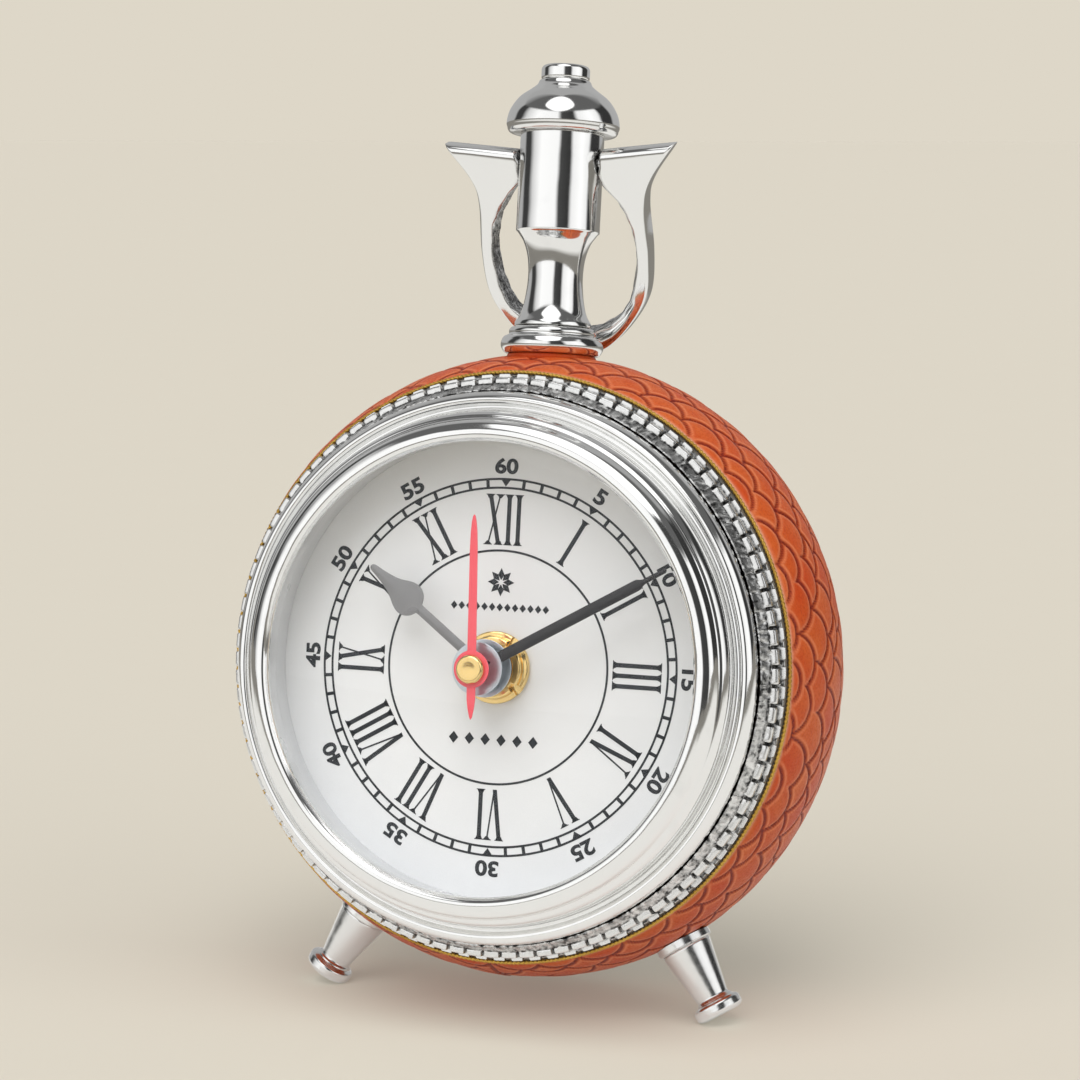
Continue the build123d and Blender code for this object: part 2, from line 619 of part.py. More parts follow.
# ---------------------------------------------------------------- legs
def leg_body(start, pad_centre):
    """Tapered leg up the Y axis, ending in a rounded pad."""
    neck = pad_centre - PAD_EDGE_R - 0.7
    pad_flat = PAD_R - PAD_EDGE_R
    return turned(
        (0, start), (LEG_TOP_R, start), (LEG_NECK_R, neck), (LEG_NECK_R + 0.35, neck + 0.7),
        (pad_flat, pad_centre - PAD_EDGE_R), ((PAD_R, pad_centre), (pad_flat, pad_centre + PAD_EDGE_R)),
        (0, pad_centre + PAD_EDGE_R),
    )


def stud_socket(start):
    """Threaded hole in the top of a leg."""
    return turned((0, start - 1), (STUD_R, start - 1), (STUD_R, start + 5), (0, start + 5))


def make_left_foot():
    """Left front leg, ground flat where it rests."""
    return radial(180 - LEG_ANGLE, leg_body(LEG_START, PAD_CENTRE) - stud_socket(LEG_START)) - make_table()


def support_height(centre, direction):
    """How far a foot pad reaches down towards the table, from the clock's centre."""
    down = (0, -math.cos(math.radians(LEAN)), -math.sin(math.radians(LEAN)))
    along = sum(a * b for a, b in zip(direction, down))
    reach = sum(a * b for a, b in zip(centre, down))
    return reach + (PAD_R - PAD_EDGE_R) * math.sqrt(1 - along ** 2) + PAD_EDGE_R


def front_pad():
    """Centre and direction of the right front foot pad."""
    turn = math.radians(LEG_ANGLE)
    direction = (math.sin(turn), -math.cos(turn), 0)
    return tuple(PAD_CENTRE * part for part in direction[:2]) + (DRUM_MID,), direction


def rear_leg_line():
    """Base, direction and length of the rear leg, which brings its pad down to the front pads' level."""
    slope = math.radians(REAR_LEG_SLOPE)
    base = (0, REAR_LEG_Y, BACK_PLATE_REAR)
    direction = (0, -math.cos(slope), -math.sin(slope))
    missing = support_height(*front_pad()) - support_height(base, direction)
    fall = math.cos(slope) * math.cos(math.radians(LEAN)) + math.sin(slope) * math.sin(math.radians(LEAN))
    return base, direction, missing / fall


REAR_COLLAR = 0.8         # thickness of the rear leg's collar


def make_table():
    """The space below the table's surface, which takes FOOT_FLAT off every foot pad."""
    surface = FOOT_FLAT - support_height(*front_pad())
    return Rot(X=LEAN) * block(-90, 90, surface - 30, surface, -120, 60)


def make_rear_leg():
    """Slanting rear leg, cut off flat against its collar on the back plate."""
    base, direction, length = rear_leg_line()
    along = Plane(origin=base, z_dir=direction).location * Rot(X=90)
    leg = along * leg_body(-8, length)
    leg -= block(-20, 20, -60, 0, BACK_PLATE_REAR - REAR_COLLAR, 0)
    return leg - tube(STUD_R, 0, BACK_PLATE_REAR - 4.3, 0, 0, REAR_LEG_Y) - make_table()


def make_foot_collars():
    """Thin saddle-shaped collars under the front legs, and a flat one under the rear leg."""
    disc = turned((STUD_R, 55), (5.4, 55), (5.4, LEG_START - 0.3), (5.0, LEG_START), (STUD_R, LEG_START))
    saddles = [radial(angle, disc) - leather_outer for angle in STUD_ANGLES[1:]]
    flat = tube(6.4, STUD_R, BACK_PLATE_REAR - REAR_COLLAR, BACK_PLATE_REAR, 0, REAR_LEG_Y)
    return Compound(saddles + [flat])


def make_foot_studs():
    """Threaded studs, drawn plain, that hold the three legs."""
    stud = turned((0, 47.5), (STUD_R, 47.5), (STUD_R, LEG_START + 4.5), (0, LEG_START + 4.5))
    studs = [radial(angle, stud) for angle in STUD_ANGLES[1:]]
    return Compound(studs + [tube(STUD_R, 0, BACK_PLATE_REAR - 4.0, BACK_PLATE_FRONT + 3.4, 0, REAR_LEG_Y)])


def hex_nut(across, bore, thickness):
    """Hexagonal nut standing on the XY plane."""
    return extrude(RegularPolygon(across / 2, 6, major_radius=False) - Circle(bore), thickness)


def make_foot_nuts():
    """Nuts on the inner ends of the legs' studs."""
    nut = Pos(0, 48.3, 0) * Rot(X=-90) * hex_nut(6, STUD_R, 2.2)
    nuts = [radial(angle, nut) for angle in STUD_ANGLES[1:]]
    return Compound(nuts + [Pos(0, REAR_LEG_Y, BACK_PLATE_FRONT) * hex_nut(6, STUD_R, 2.2)])


def make_stem_stud():
    """Threaded stud, drawn plain, from inside the drum up into the post."""
    lower = turned((0, 47), (STUD_R, 47), (STUD_R, STUD_STEP), (0, STUD_STEP))
    upper = turned((0, STUD_STEP), (2, STUD_STEP), (2, COLLAR_TOP + 7.5), (0, COLLAR_TOP + 7.5))
    return upright(lower + upper)


def make_stem_nut():
    """Nut on the inner end of the stem's stud."""
    return upright(Pos(0, 48.0, 0) * Rot(X=-90) * hex_nut(7, STUD_R, 2.5))


# ---------------------------------------------------------------- assembly
PARTS = {
    "case_drum": make_drum(),
    "leather_band": make_leather(),
    "front_piping": make_piping(DRUM_FRONT, -1),
    "rear_piping": make_piping(DRUM_REAR, 1),
    "toothed_ring": make_toothed_ring(),
    "bezel": make_bezel(),
    "rear_ring": make_rear_ring(),
    "glass": make_glass(),
    "glass_gasket": make_gasket(),
    "reflector_ring": make_reflector(),
    "dial": make_dial(),
    "mounting_plate": make_mounting_plate(),
    "back_plate": make_back_plate(),
    "back_lid": make_back_lid(),
    "back_screws": make_back_screws(),
    "movement_case": make_movement_case(),
    "movement_cover": make_movement_cover(),
    "train_bridge": make_train_bridge(),
    "centre_bush": make_centre_bush(),
    "rubber_washer": make_rubber_washer(),
    "dial_washer": make_dial_washer(),
    "dial_nut": make_dial_nut(),
    "stator": make_stator(),
    "coil": make_coil(),
    "rotor": make_rotor(),
    "fifth_wheel": make_fifth_wheel(),
    "seconds_wheel": make_seconds_wheel(),
    "third_wheel": make_third_wheel(),
    "centre_wheel": make_centre_wheel(),
    "cannon_pinion": make_cannon_pinion(),
    "motion_wheel": make_motion_wheel(),
    "hour_wheel": make_hour_wheel(),
    "setting_knob": make_setting_knob(),
    "circuit_board": make_circuit_board(),
    "quartz_crystal": make_quartz_crystal(),
    "battery": make_battery(),
    "battery_contacts": make_battery_contacts(),
    "hour_hand": make_hour_hand(),
    "minute_hand": make_minute_hand(),
    "second_hand": make_second_hand(),
    "second_cap": make_second_cap(),
    "stem_washer": make_stem_washer(),
    "stem_collar": make_stem_collar(),
    "stem_post": make_stem_post(),
    "stem_cap": make_stem_cap(),
    "stem_button": make_stem_button(),
    "stem_stud": make_stem_stud(),
    "stem_nut": make_stem_nut(),
    "bow": make_bow(),
    "bow_pins": make_bow_pins(),
    "foot_left": make_left_foot(),
    "foot_right": mirror(make_left_foot(), Plane.YZ),
    "rear_leg": make_rear_leg(),
    "foot_collars": make_foot_collars(),
    "foot_studs": make_foot_studs(),
    "foot_nuts": make_foot_nuts(),
}

# Stand the clock on the table, then centre its box over the origin.
lean_back = Rot(X=90 - LEAN)
leaning = Compound([lean_back * part for part in PARTS.values()]).bounding_box()
middle = leaning.center()
place = Pos(-middle.X, -middle.Y, -leaning.min.Z) * lean_back


def placed(point):
    """Where a point of the clock's own frame stands on the table."""
    return (place * Pos(*point)).position


os.makedirs("parts", exist_ok=True)
for name, part in PARTS.items():
    export_step(place * part, f"parts/{name}.step")

JOINT_POINTS = {
    "centre": (0, 0, 0),
    "motion": (*MOTION, MOTION_LAYER),
    "knob": (*KNOB, -22),
    "third": (*THIRD, THIRD_LAYER),
    "fifth": (*FIFTH, FIFTH_LAYER),
    "rotor": (*ROTOR, FIFTH_LAYER),
    "bow pivot": (0, BOW_PIVOT, DRUM_MID),
    "lid": (0, 0, BACK_PLATE_REAR),
}
for name, point in JOINT_POINTS.items():
    print(name, [round(value / 1000, 6) for value in placed(point)])
for name in ("foot_left", "foot_right", "rear_leg"):
    lowest = (place * PARTS[name]).faces().sort_by(Axis.Z)[0]
    print(name, "rests at", [round(value / 1000, 6) for value in lowest.center()], "area", round(lowest.area, 2))
print("size", leaning.size)
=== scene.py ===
import json
import logging
import math
from dataclasses import dataclass, field
from enum import Enum

import bmesh
import bpy
import numpy as np
from mathutils import Matrix, Vector


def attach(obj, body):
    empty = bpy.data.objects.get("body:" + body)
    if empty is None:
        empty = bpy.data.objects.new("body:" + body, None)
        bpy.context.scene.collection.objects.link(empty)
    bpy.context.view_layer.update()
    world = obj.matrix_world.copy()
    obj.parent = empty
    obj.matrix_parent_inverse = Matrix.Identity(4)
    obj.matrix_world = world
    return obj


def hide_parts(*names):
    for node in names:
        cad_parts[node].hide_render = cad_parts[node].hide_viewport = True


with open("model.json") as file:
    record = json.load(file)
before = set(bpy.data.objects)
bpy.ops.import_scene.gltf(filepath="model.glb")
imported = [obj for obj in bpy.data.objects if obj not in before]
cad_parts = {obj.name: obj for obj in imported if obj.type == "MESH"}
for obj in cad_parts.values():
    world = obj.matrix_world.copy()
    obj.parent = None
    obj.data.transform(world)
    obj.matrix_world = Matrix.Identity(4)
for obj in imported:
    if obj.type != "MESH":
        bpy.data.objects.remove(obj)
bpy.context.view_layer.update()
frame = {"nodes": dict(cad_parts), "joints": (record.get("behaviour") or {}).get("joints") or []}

MM = 0.001
TURN = 2 * math.pi
# Points nearer than this, in metres, are one point.
MERGE_M = 2e-7
# Most of a profile's side that one softened corner takes.
SOFT_SHARE = 0.48
# How far the extra points stand off a corner, in millimetres and as a share of what is left of the side.
SUPPORT_MM, SUPPORT_SHARE = 0.1, 0.3
# Points across a clock hand's upper face, and across its underside.
HAND_STEPS = 9
logging.basicConfig(level=logging.INFO, format="%(name)s: %(message)s")
log = logging.getLogger("table_clock")


# ---------------------------------------------------------------- places
@dataclass(frozen=True)
class ClockFrame:
    """The clock's own upright frame, in millimetres: right, up, and forward out of the dial.

    Its origin is where the hands' axis meets the dial's face, and its directions lean back with the clock.
    """

    origin: np.ndarray
    back: np.ndarray

    def basis(self) -> np.ndarray:
        """Rows are the right, up and forward directions in the row frame."""
        right = np.array([1.0, 0.0, 0.0])
        return np.stack([right, np.cross(-self.back, right), -self.back])

    def place(self, points: np.ndarray) -> np.ndarray:
        """Carries points to the row frame, in metres: the origin plus each part times its direction."""
        return self.origin + points @ self.basis() * MM


HANDS = next(j for j in frame["joints"] if j["name"] == "second_hand_turn")
CLOCK = ClockFrame(np.array(HANDS["pos_m"], float), np.array(HANDS["axis"], float))


@dataclass(frozen=True)
class Spindle:
    """An axis to turn shapes about, in the clock's frame: a start, a direction, and where angle 0 points."""

    start: tuple[float, float, float]
    along: tuple[float, float, float]
    zero: tuple[float, float, float]

    def points(self, radius: np.ndarray, height: np.ndarray, angle: np.ndarray) -> np.ndarray:
        """Start, plus height along the axis, plus radius times the cosine and sine of the angle across it.

        Args:
            radius: Distances from the axis; radius, height and angle broadcast together.
            height: Distances along the axis.
            angle: Angles in radians, clockwise as seen from the axis's far end.

        Returns:
            Points in the clock's frame, with a last axis of three.
        """
        along, zero = np.array(self.along), np.array(self.zero)
        side = np.cross(zero, along)
        radius, height, angle = (a[..., None] for a in np.broadcast_arrays(radius, height, angle))
        return np.array(self.start) + height * along + radius * (np.cos(angle) * zero + np.sin(angle) * side)


# ---------------------------------------------------------------- sizes shared by several pieces
@dataclass(frozen=True)
class Drum:
    """Main sizes of the leather-wrapped drum, in the clock's frame."""

    front: float = -3.2
    rear: float = -37.8
    edge_r: float = 53.7
    wide_r: float = 57.8
    leather: float = 1.2
    inset: float = 1.0

    @property
    def mid(self) -> float:
        """Height of the drum's middle plane."""
        return (self.front + self.rear) / 2

    def radius(self, z: np.ndarray, extra: float = 0.0) -> np.ndarray:
        """Bulged radius at a height: an arc through both edges and the widest middle.

        Args:
            z: Heights in the clock's frame.
            extra: Thickness added outside; with it the band stops short of both edges.

        Returns:
            Radius at each height.
        """
        half = (self.front - self.rear) / 2 - (self.inset if extra else 0.0)
        rise = self.wide_r - self.edge_r
        ball = (half ** 2 + rise ** 2) / (2 * rise)
        return self.wide_r + extra - ball + np.sqrt(ball ** 2 - (z - self.mid) ** 2)


DRUM = Drum()
DIAL_AXIS = Spindle((0, 0, 0), (0, 0, 1), (0, 1, 0))
STEM_AXIS = Spindle((0, 0, DRUM.mid), (0, 1, 0), (0, 0, 1))
LEG_ANGLE = math.radians(32.8)
BOW_TILT = math.radians(20.4)


def leg_spindle(side: int) -> Spindle:
    """Axis of a front leg, down and outwards from the drum's middle."""
    return Spindle((0, 0, DRUM.mid), (side * math.sin(LEG_ANGLE), -math.cos(LEG_ANGLE), 0), (0, 0, 1))


# ---------------------------------------------------------------- profiles and surfaces
def rounded(corners: list[tuple[float, float, float]], closed: bool = False, steps: int = 6) -> np.ndarray:
    """Profile with softened corners: each corner is a parabola between two points on its sides.

    One more point on each side, just off the corner, keeps the flats between corners flat in shading.

    Args:
        corners: Radius, height and softening length of each corner.
        closed: Whether the last corner joins the first.
        steps: Points on each corner.

    Returns:
        Radii and heights, one row each.
    """
    table = np.array(corners, float)
    point, cut = table[:, :2], table[:, 2]
    before, after = np.roll(point, 1, 0) - point, np.roll(point, -1, 0) - point
    if not closed:
        before[0] = after[-1] = 0.0
    reach_b, reach_a = np.linalg.norm(before, axis=1), np.linalg.norm(after, axis=1)
    cut = np.minimum(cut, SOFT_SHARE * np.minimum(reach_b, reach_a))[:, None]
    before, after = before / (reach_b[:, None] + 1e-9), after / (reach_a[:, None] + 1e-9)
    t = np.linspace(0, 1, steps)[None, :, None]
    bend = point[:, None] + cut[:, None] * ((1 - t) ** 2 * before[:, None] + t ** 2 * after[:, None])
    beside = []
    for way, reach in ((before, reach_b), (after, reach_a)):
        left = np.maximum(reach[:, None] - 2 * cut, 0)
        beside.append(point + way * cut + way * np.minimum(SUPPORT_MM, SUPPORT_SHARE * left))
    lead, trail = beside
    return np.concatenate([lead[:, None], bend, trail[:, None]], 1).reshape(-1, 2)


def smooth_line(points: list[tuple[float, ...]], count: int) -> np.ndarray:
    """Even run of points on a curve through given ones: each span is a cubic set by its four neighbours.

    Args:
        points: Points that the curve goes through.
        count: How many points to return.

    Returns:
        Points shaped (count, values of a point).
    """
    p = np.array(points, float)
    p = np.concatenate([2 * p[:1] - p[1:2], p, 2 * p[-1:] - p[-2:-1]])
    t = np.linspace(0, len(points) - 1, count)
    span = np.minimum(t.astype(int), len(points) - 2)
    t = (t - span)[:, None]
    a, b, c, d = p[span], p[span + 1], p[span + 2], p[span + 3]
    square, cube = 2 * a - 5 * b + 4 * c - d, 3 * b - a - 3 * c + d
    return 0.5 * (2 * b + (c - a) * t + square * t ** 2 + cube * t ** 3)


def grain(shape: tuple[int, int], blur: int, seed: int) -> np.ndarray:
    """Rough field of mean 0 and unit spread: seeded random values, averaged over their neighbours.

    Args:
        shape: Rows and columns.
        blur: How many times neighbours are averaged.
        seed: Start of the random draws.

    Returns:
        Values shaped as asked.
    """
    values = np.random.default_rng(seed).standard_normal(shape)
    for _ in range(blur):
        values = (values + np.roll(values, 1, 0) + np.roll(values, -1, 0)) / 3
        values = (values + np.roll(values, 1, 1) + np.roll(values, -1, 1)) / 3
    return values / values.std()


def finish_mesh(mesh: bpy.types.Mesh, name: str, sharp_deg: float) -> bpy.types.Object:
    """Merges doubled points, points faces outwards, and shades smooth up to an angle.

    Args:
        mesh: The mesh to clean.
        name: The piece's name.
        sharp_deg: Edges that turn by more than this stay crisp.

    Returns:
        The new object, at the origin.
    """
    work = bmesh.new()
    work.from_mesh(mesh)
    bmesh.ops.remove_doubles(work, verts=work.verts, dist=MERGE_M)
    bmesh.ops.recalc_face_normals(work, faces=work.faces)
    work.to_mesh(mesh)
    work.free()
    mesh.shade_smooth()
    mesh.set_sharp_from_angle(angle=math.radians(sharp_deg))
    piece = bpy.data.objects.new(name, mesh)
    bpy.context.scene.collection.objects.link(piece)
    return piece


def surface(name: str, grid: np.ndarray, wrap_u: bool = False, wrap_v: bool = False, sharp_deg: float = 40.0,
            **values: np.ndarray) -> bpy.types.Object:
    """Piece made of quads between neighbouring points of a grid.

    Args:
        name: The piece's name.
        grid: Points in the clock's frame, shaped (u, v, 3).
        wrap_u: Whether the last row joins the first.
        wrap_v: Whether the last column joins the first.
        sharp_deg: Edges that turn by more than this stay crisp.
        **values: Fields shaped (u, v), kept as attributes of the points.

    Returns:
        The new object, at the origin.
    """
    nu, nv = grid.shape[:2]
    index = np.arange(nu * nv).reshape(nu, nv)
    if wrap_u:
        index = np.concatenate([index, index[:1]], 0)
    if wrap_v:
        index = np.concatenate([index, index[:, :1]], 1)
    quads = np.stack([index[:-1, :-1], index[1:, :-1], index[1:, 1:], index[:-1, 1:]], -1).reshape(-1, 4)
    mesh = bpy.data.meshes.new(name)
    mesh.from_pydata(CLOCK.place(grid.reshape(-1, 3)), [], quads)
    for key, value in values.items():
        layer = mesh.attributes.new(key, "FLOAT", "POINT")
        layer.data.foreach_set("value", np.ascontiguousarray(value, np.float32).ravel())
    return finish_mesh(mesh, name, sharp_deg)


def turned(name: str, spindle: Spindle, profile: np.ndarray, closed: bool = False, segments: int = 160,
           sharp_deg: float = 40.0) -> bpy.types.Object:
    """Piece turned about a spindle: every point of the profile carried round a full circle.

    Args:
        name: The piece's name.
        spindle: The axis to turn about.
        profile: Radii and heights, one row each.
        closed: Whether the profile's last point joins its first.
        segments: Steps round the circle.
        sharp_deg: Edges that turn by more than this stay crisp.

    Returns:
        The piece, at the origin.
    """
    angle = np.linspace(0, TURN, segments, endpoint=False)[:, None]
    grid = spindle.points(profile[None, :, 0], profile[None, :, 1], angle)
    return surface(name, grid, wrap_u=True, wrap_v=closed, sharp_deg=sharp_deg)


def prisms(name: str, outlines: np.ndarray, low: float, high: float) -> bpy.types.Object:
    """Upright prisms on the dial, all with the same number of corners.

    Args:
        name: The piece's name.
        outlines: Corners of each prism, shaped (prisms, corners, 2), right and up.
        low: Height of the undersides.
        high: Height of the tops.

    Returns:
        One object that holds all the prisms.
    """
    count, corners = outlines.shape[:2]
    heights = np.array([low, high])[None, :, None, None]
    flat = np.broadcast_to(outlines[:, None], (count, 2, corners, 2))
    points = np.concatenate([flat, np.broadcast_to(heights, (count, 2, corners, 1))], -1)
    index = np.arange(count * 2 * corners).reshape(count, 2, corners)
    under, top = index[:, 0], index[:, 1]
    sides = np.stack([under, np.roll(under, -1, 1), np.roll(top, -1, 1), top], -1).reshape(-1, 4)
    mesh = bpy.data.meshes.new(name)
    faces = [*under[:, ::-1].tolist(), *top.tolist(), *sides.tolist()]
    mesh.from_pydata(CLOCK.place(points.reshape(-1, 3)), [], faces)
    piece = bpy.data.objects.new(name, mesh)
    bpy.context.scene.collection.objects.link(piece)
    return piece


def spun(points: np.ndarray, clockwise: np.ndarray | float) -> np.ndarray:
    """Turns flat points about the dial's centre, clockwise, by angles in radians.

    Args:
        points: Points, right and up, with a last axis of two.
        clockwise: Angles that broadcast with the points.

    Returns:
        The turned points.
    """
    c, s = np.cos(clockwise), np.sin(clockwise)
    x, y = points[..., 0], points[..., 1]
    return np.stack([x * c + y * s, y * c - x * s], -1)


def grid_plate(name: str, axis_line: np.ndarray, half_width: np.ndarray, low: float, high: float,
               crown: float, angle_deg: float) -> bpy.types.Object:
    """A clock hand: at each distance along it, a closed section that is flat below and crowned above.

    Args:
        name: The piece's name.
        axis_line: Distances from the hands' axis, one for each section.
        half_width: Half the width at each distance.
        low: Height of the flat underside.
        high: Height of the upper edges.
        crown: How far the middle rises above the edges.
        angle_deg: Angle of the hand, clockwise from twelve.

    Returns:
        The hand, closed at both ends.
    """
    across = np.linspace(-1, 1, HAND_STEPS)
    over = np.stack([across, high + crown * (1 - np.abs(across) ** 1.5)], -1)
    under = np.stack([across[::-1], np.full(HAND_STEPS, low)], -1)
    section = np.concatenate([over, under])
    flat = np.stack(np.broadcast_arrays(half_width[:, None] * section[None, :, 0], axis_line[:, None]), -1)
    turned_flat = spun(flat, math.radians(angle_deg))
    height = np.broadcast_to(section[None, :, 1:], (len(axis_line), 2 * HAND_STEPS, 1))
    grid = np.concatenate([turned_flat, height], -1)
    middle = np.broadcast_to(grid[:, :HAND_STEPS].mean(1, keepdims=True), grid.shape)
    grid = np.concatenate([middle[:1], grid, middle[-1:]])
    return surface(name, grid, wrap_v=True, sharp_deg=30)


# ---------------------------------------------------------------- finishes
class Tree:
    """A material's nodes, with short calls for the ones that this clock's finishes share."""

    def __init__(self, name: str) -> None:
        """Starts a material with one shader on its output.

        Args:
            name: The material's name.
        """
        self.material = bpy.data.materials.new(name)
        self.material.use_nodes = True
        self.nodes = self.material.node_tree.nodes
        self.links = self.material.node_tree.links
        self.shader = self.nodes["Principled BSDF"]
        self.output = self.nodes["Material Output"]
        self.where = self.nodes.new("ShaderNodeTexCoord").outputs["Object"]

    def set(self, **sockets: object) -> None:
        """Sets the shader's own sockets; underscores stand for spaces.

        Args:
            **sockets: A number, a colour or another node's output for each socket.
        """
        for key, value in sockets.items():
            socket = self.shader.inputs[key.replace("_", " ")]
            if isinstance(value, bpy.types.NodeSocket):
                self.links.new(value, socket)
            else:
                socket.default_value = (*value, 1.0) if isinstance(value, tuple) else value

    def noise(self, size_mm: float, detail: float = 3.0, stretch: tuple[float, float, float] = (1, 1, 1),
              rough: float = 0.55) -> bpy.types.NodeSocket:
        """Cloudy values about 0.5, with features of a size, stretched by a factor along each direction.

        Args:
            size_mm: Size of the largest features.
            detail: How many finer layers there are.
            stretch: Factor along each direction; a larger one makes features shorter.
            rough: Share that each finer layer keeps.

        Returns:
            The node's output.
        """
        mapping = self.nodes.new("ShaderNodeMapping")
        mapping.inputs["Scale"].default_value = stretch
        self.links.new(self.where, mapping.inputs["Vector"])
        node = self.nodes.new("ShaderNodeTexNoise")
        node.inputs["Scale"].default_value = 1 / (size_mm * MM)
        node.inputs["Detail"].default_value = detail
        node.inputs["Roughness"].default_value = rough
        self.links.new(mapping.outputs[0], node.inputs["Vector"])
        return node.outputs["Fac"]

    def cells(self, size_mm: float) -> bpy.types.NodeSocket:
        """Distance to the nearest of many scattered points, with cells of a size.

        Args:
            size_mm: Size of a cell.

        Returns:
            The node's output.
        """
        node = self.nodes.new("ShaderNodeTexVoronoi")
        node.inputs["Scale"].default_value = 1 / (size_mm * MM)
        self.links.new(self.where, node.inputs["Vector"])
        return node.outputs["Distance"]

    def field(self, name: str) -> bpy.types.NodeSocket:
        """A number kept on the piece's points.

        Args:
            name: The field's name.

        Returns:
            The node's output.
        """
        node = self.nodes.new("ShaderNodeAttribute")
        node.attribute_name = name
        return node.outputs["Fac"]

    def spread(self, value: bpy.types.NodeSocket, low: float, high: float, start: float = 0.0,
               end: float = 1.0) -> bpy.types.NodeSocket:
        """Maps start to end onto low to high, and holds the value there outside them.

        Args:
            value: The value to map.
            low: Result at the start.
            high: Result at the end.
            start: Value that gives the low result.
            end: Value that gives the high result.

        Returns:
            The node's output.
        """
        node = self.nodes.new("ShaderNodeMapRange")
        for key, number in zip(("From Min", "From Max", "To Min", "To Max"), (start, end, low, high)):
            node.inputs[key].default_value = number
        self.links.new(value, node.inputs["Value"])
        return node.outputs[0]

    def mix(self, share: bpy.types.NodeSocket, first: object, second: object) -> bpy.types.NodeSocket:
        """Colour between two others, by a share.

        Args:
            share: 0 for the first colour, 1 for the second.
            first: A colour or another node's output.
            second: A colour or another node's output.

        Returns:
            The node's output.
        """
        node = self.nodes.new("ShaderNodeMix")
        node.data_type = "RGBA"
        self.links.new(share, node.inputs[0])
        for socket, value in ((node.inputs[6], first), (node.inputs[7], second)):
            if isinstance(value, bpy.types.NodeSocket):
                self.links.new(value, socket)
            else:
                socket.default_value = (*value, 1.0)
        return node.outputs[2]

    def sums(self, first: bpy.types.NodeSocket, second: object,
             operation: str = "ADD") -> bpy.types.NodeSocket:
        """Arithmetic on two values.

        Args:
            first: Left value.
            second: Right value: a number or another node's output.
            operation: The sum's kind.

        Returns:
            The node's output.
        """
        node = self.nodes.new("ShaderNodeMath")
        node.operation = operation
        self.links.new(first, node.inputs[0])
        if isinstance(second, bpy.types.NodeSocket):
            self.links.new(second, node.inputs[1])
        else:
            node.inputs[1].default_value = second
        return node.outputs[0]

    def relief(self, height: bpy.types.NodeSocket, depth_mm: float, strength: float = 1.0) -> None:
        """Gives the shader a fine relief of a depth.

        Args:
            height: Height between 0 and 1.
            depth_mm: Depth of the relief.
            strength: Share of the relief that shows.
        """
        node = self.nodes.new("ShaderNodeBump")
        node.inputs["Distance"].default_value = depth_mm * MM
        node.inputs["Strength"].default_value = strength
        self.links.new(height, node.inputs["Height"])
        self.links.new(node.outputs[0], self.shader.inputs["Normal"])


@dataclass(frozen=True)
class Polished:
    """Bright plate or turned metal: slow waves left by hand polishing, and a haze of fine scratches."""

    name: str
    color: tuple[float, float, float] = (0.86, 0.86, 0.85)
    smooth: float = 0.06
    dull: float = 0.12
    wave_mm: float = 9.0
    wave_depth: float = 0.02
    stain: tuple[float, float, float] = (0.62, 0.62, 0.62)

    def build(self) -> bpy.types.Material:
        """Makes the material.

        Returns:
            The material.
        """
        tree = Tree(self.name)
        haze = tree.noise(1.4, 6.0, rough=0.7)
        tree.set(Metallic=1.0, Specular_IOR_Level=0.5)
        stained = tree.spread(tree.noise(6.0, 4.0), 0.0, 0.25, 0.55, 0.8)
        tree.set(Base_Color=tree.mix(stained, self.color, self.stain))
        tree.set(Roughness=tree.spread(haze, self.smooth, self.dull, 0.35, 0.75))
        waves = tree.sums(tree.noise(self.wave_mm, 1.0), tree.sums(haze, 0.02, "MULTIPLY"))
        tree.relief(waves, self.wave_depth * self.wave_mm)
        return tree.material


@dataclass(frozen=True)
class Cast:
    """Rough-cast plated metal: bright on its high spots, dark in its hollows, and dark with painted shade in
    the gaps and corners where a piece's field asks for it.
    """

    name: str
    bright: tuple[float, float, float] = (0.80, 0.80, 0.79)
    # Colour of the hollows, and of painted shade where a piece paints it.
    dark: tuple[float, float, float] = (0.05, 0.05, 0.05)
    polish: float = 0.24
    pit_mm: float = 0.8
    depth_mm: float = 0.12

    def build(self) -> bpy.types.Material:
        """Makes the material: the piece's pits field says how rough and dark it is, from polished to rough,
        painted shade included.

        Returns:
            The material.
        """
        tree = Tree(self.name)
        pits = tree.field("pits")
        spots = tree.noise(self.pit_mm, 5.0, rough=0.65)
        pitted_and_shaded = tree.sums(pits, tree.spread(spots, 0.25, 1.5, 0.35, 0.65), "MULTIPLY")
        # Painted shade: where the field carries shade, as in the toothed ring's gaps and corners, the colour
        # runs to the dark one.
        tree.set(Metallic=1.0, Base_Color=tree.mix(tree.spread(pitted_and_shaded, 0.0, 1.0), self.bright, self.dark))
        tree.set(Roughness=tree.spread(pitted_and_shaded, self.polish, 0.4))
        waves = tree.sums(tree.noise(7.0, 1.0), 0.5, "MULTIPLY")
        tree.relief(tree.sums(waves, tree.sums(spots, pits, "MULTIPLY")), self.depth_mm)
        return tree.material


@dataclass(frozen=True)
class Satin:
    """Painted, moulded or satin-plated surface: a near-even colour with fine grain and faint patches."""

    name: str
    color: tuple[float, float, float]
    shade: tuple[float, float, float]
    roughness: float = 0.45
    metallic: float = 0.0
    grain_mm: float = 0.35
    grain_depth: float = 0.01
    coat: float = 0.0
    stretch: tuple[float, float, float] = (1.0, 1.0, 1.0)

    def build(self) -> bpy.types.Material:
        """Makes the material.

        Returns:
            The material.
        """
        tree = Tree(self.name)
        fine = tree.noise(self.grain_mm, 3.0, self.stretch)
        broad = tree.noise(12.0, 2.0)
        share = tree.sums(tree.spread(fine, 0.0, 0.5, 0.3, 0.7), tree.spread(broad, 0.0, 0.5, 0.3, 0.7))
        tree.set(Metallic=self.metallic, Coat_Weight=self.coat, Coat_Roughness=0.08)
        tree.set(Base_Color=tree.mix(share, self.color, self.shade))
        tree.set(Roughness=tree.spread(broad, self.roughness * 0.85, self.roughness * 1.15, 0.3, 0.7))
        tree.relief(fine, self.grain_depth)
        return tree.material


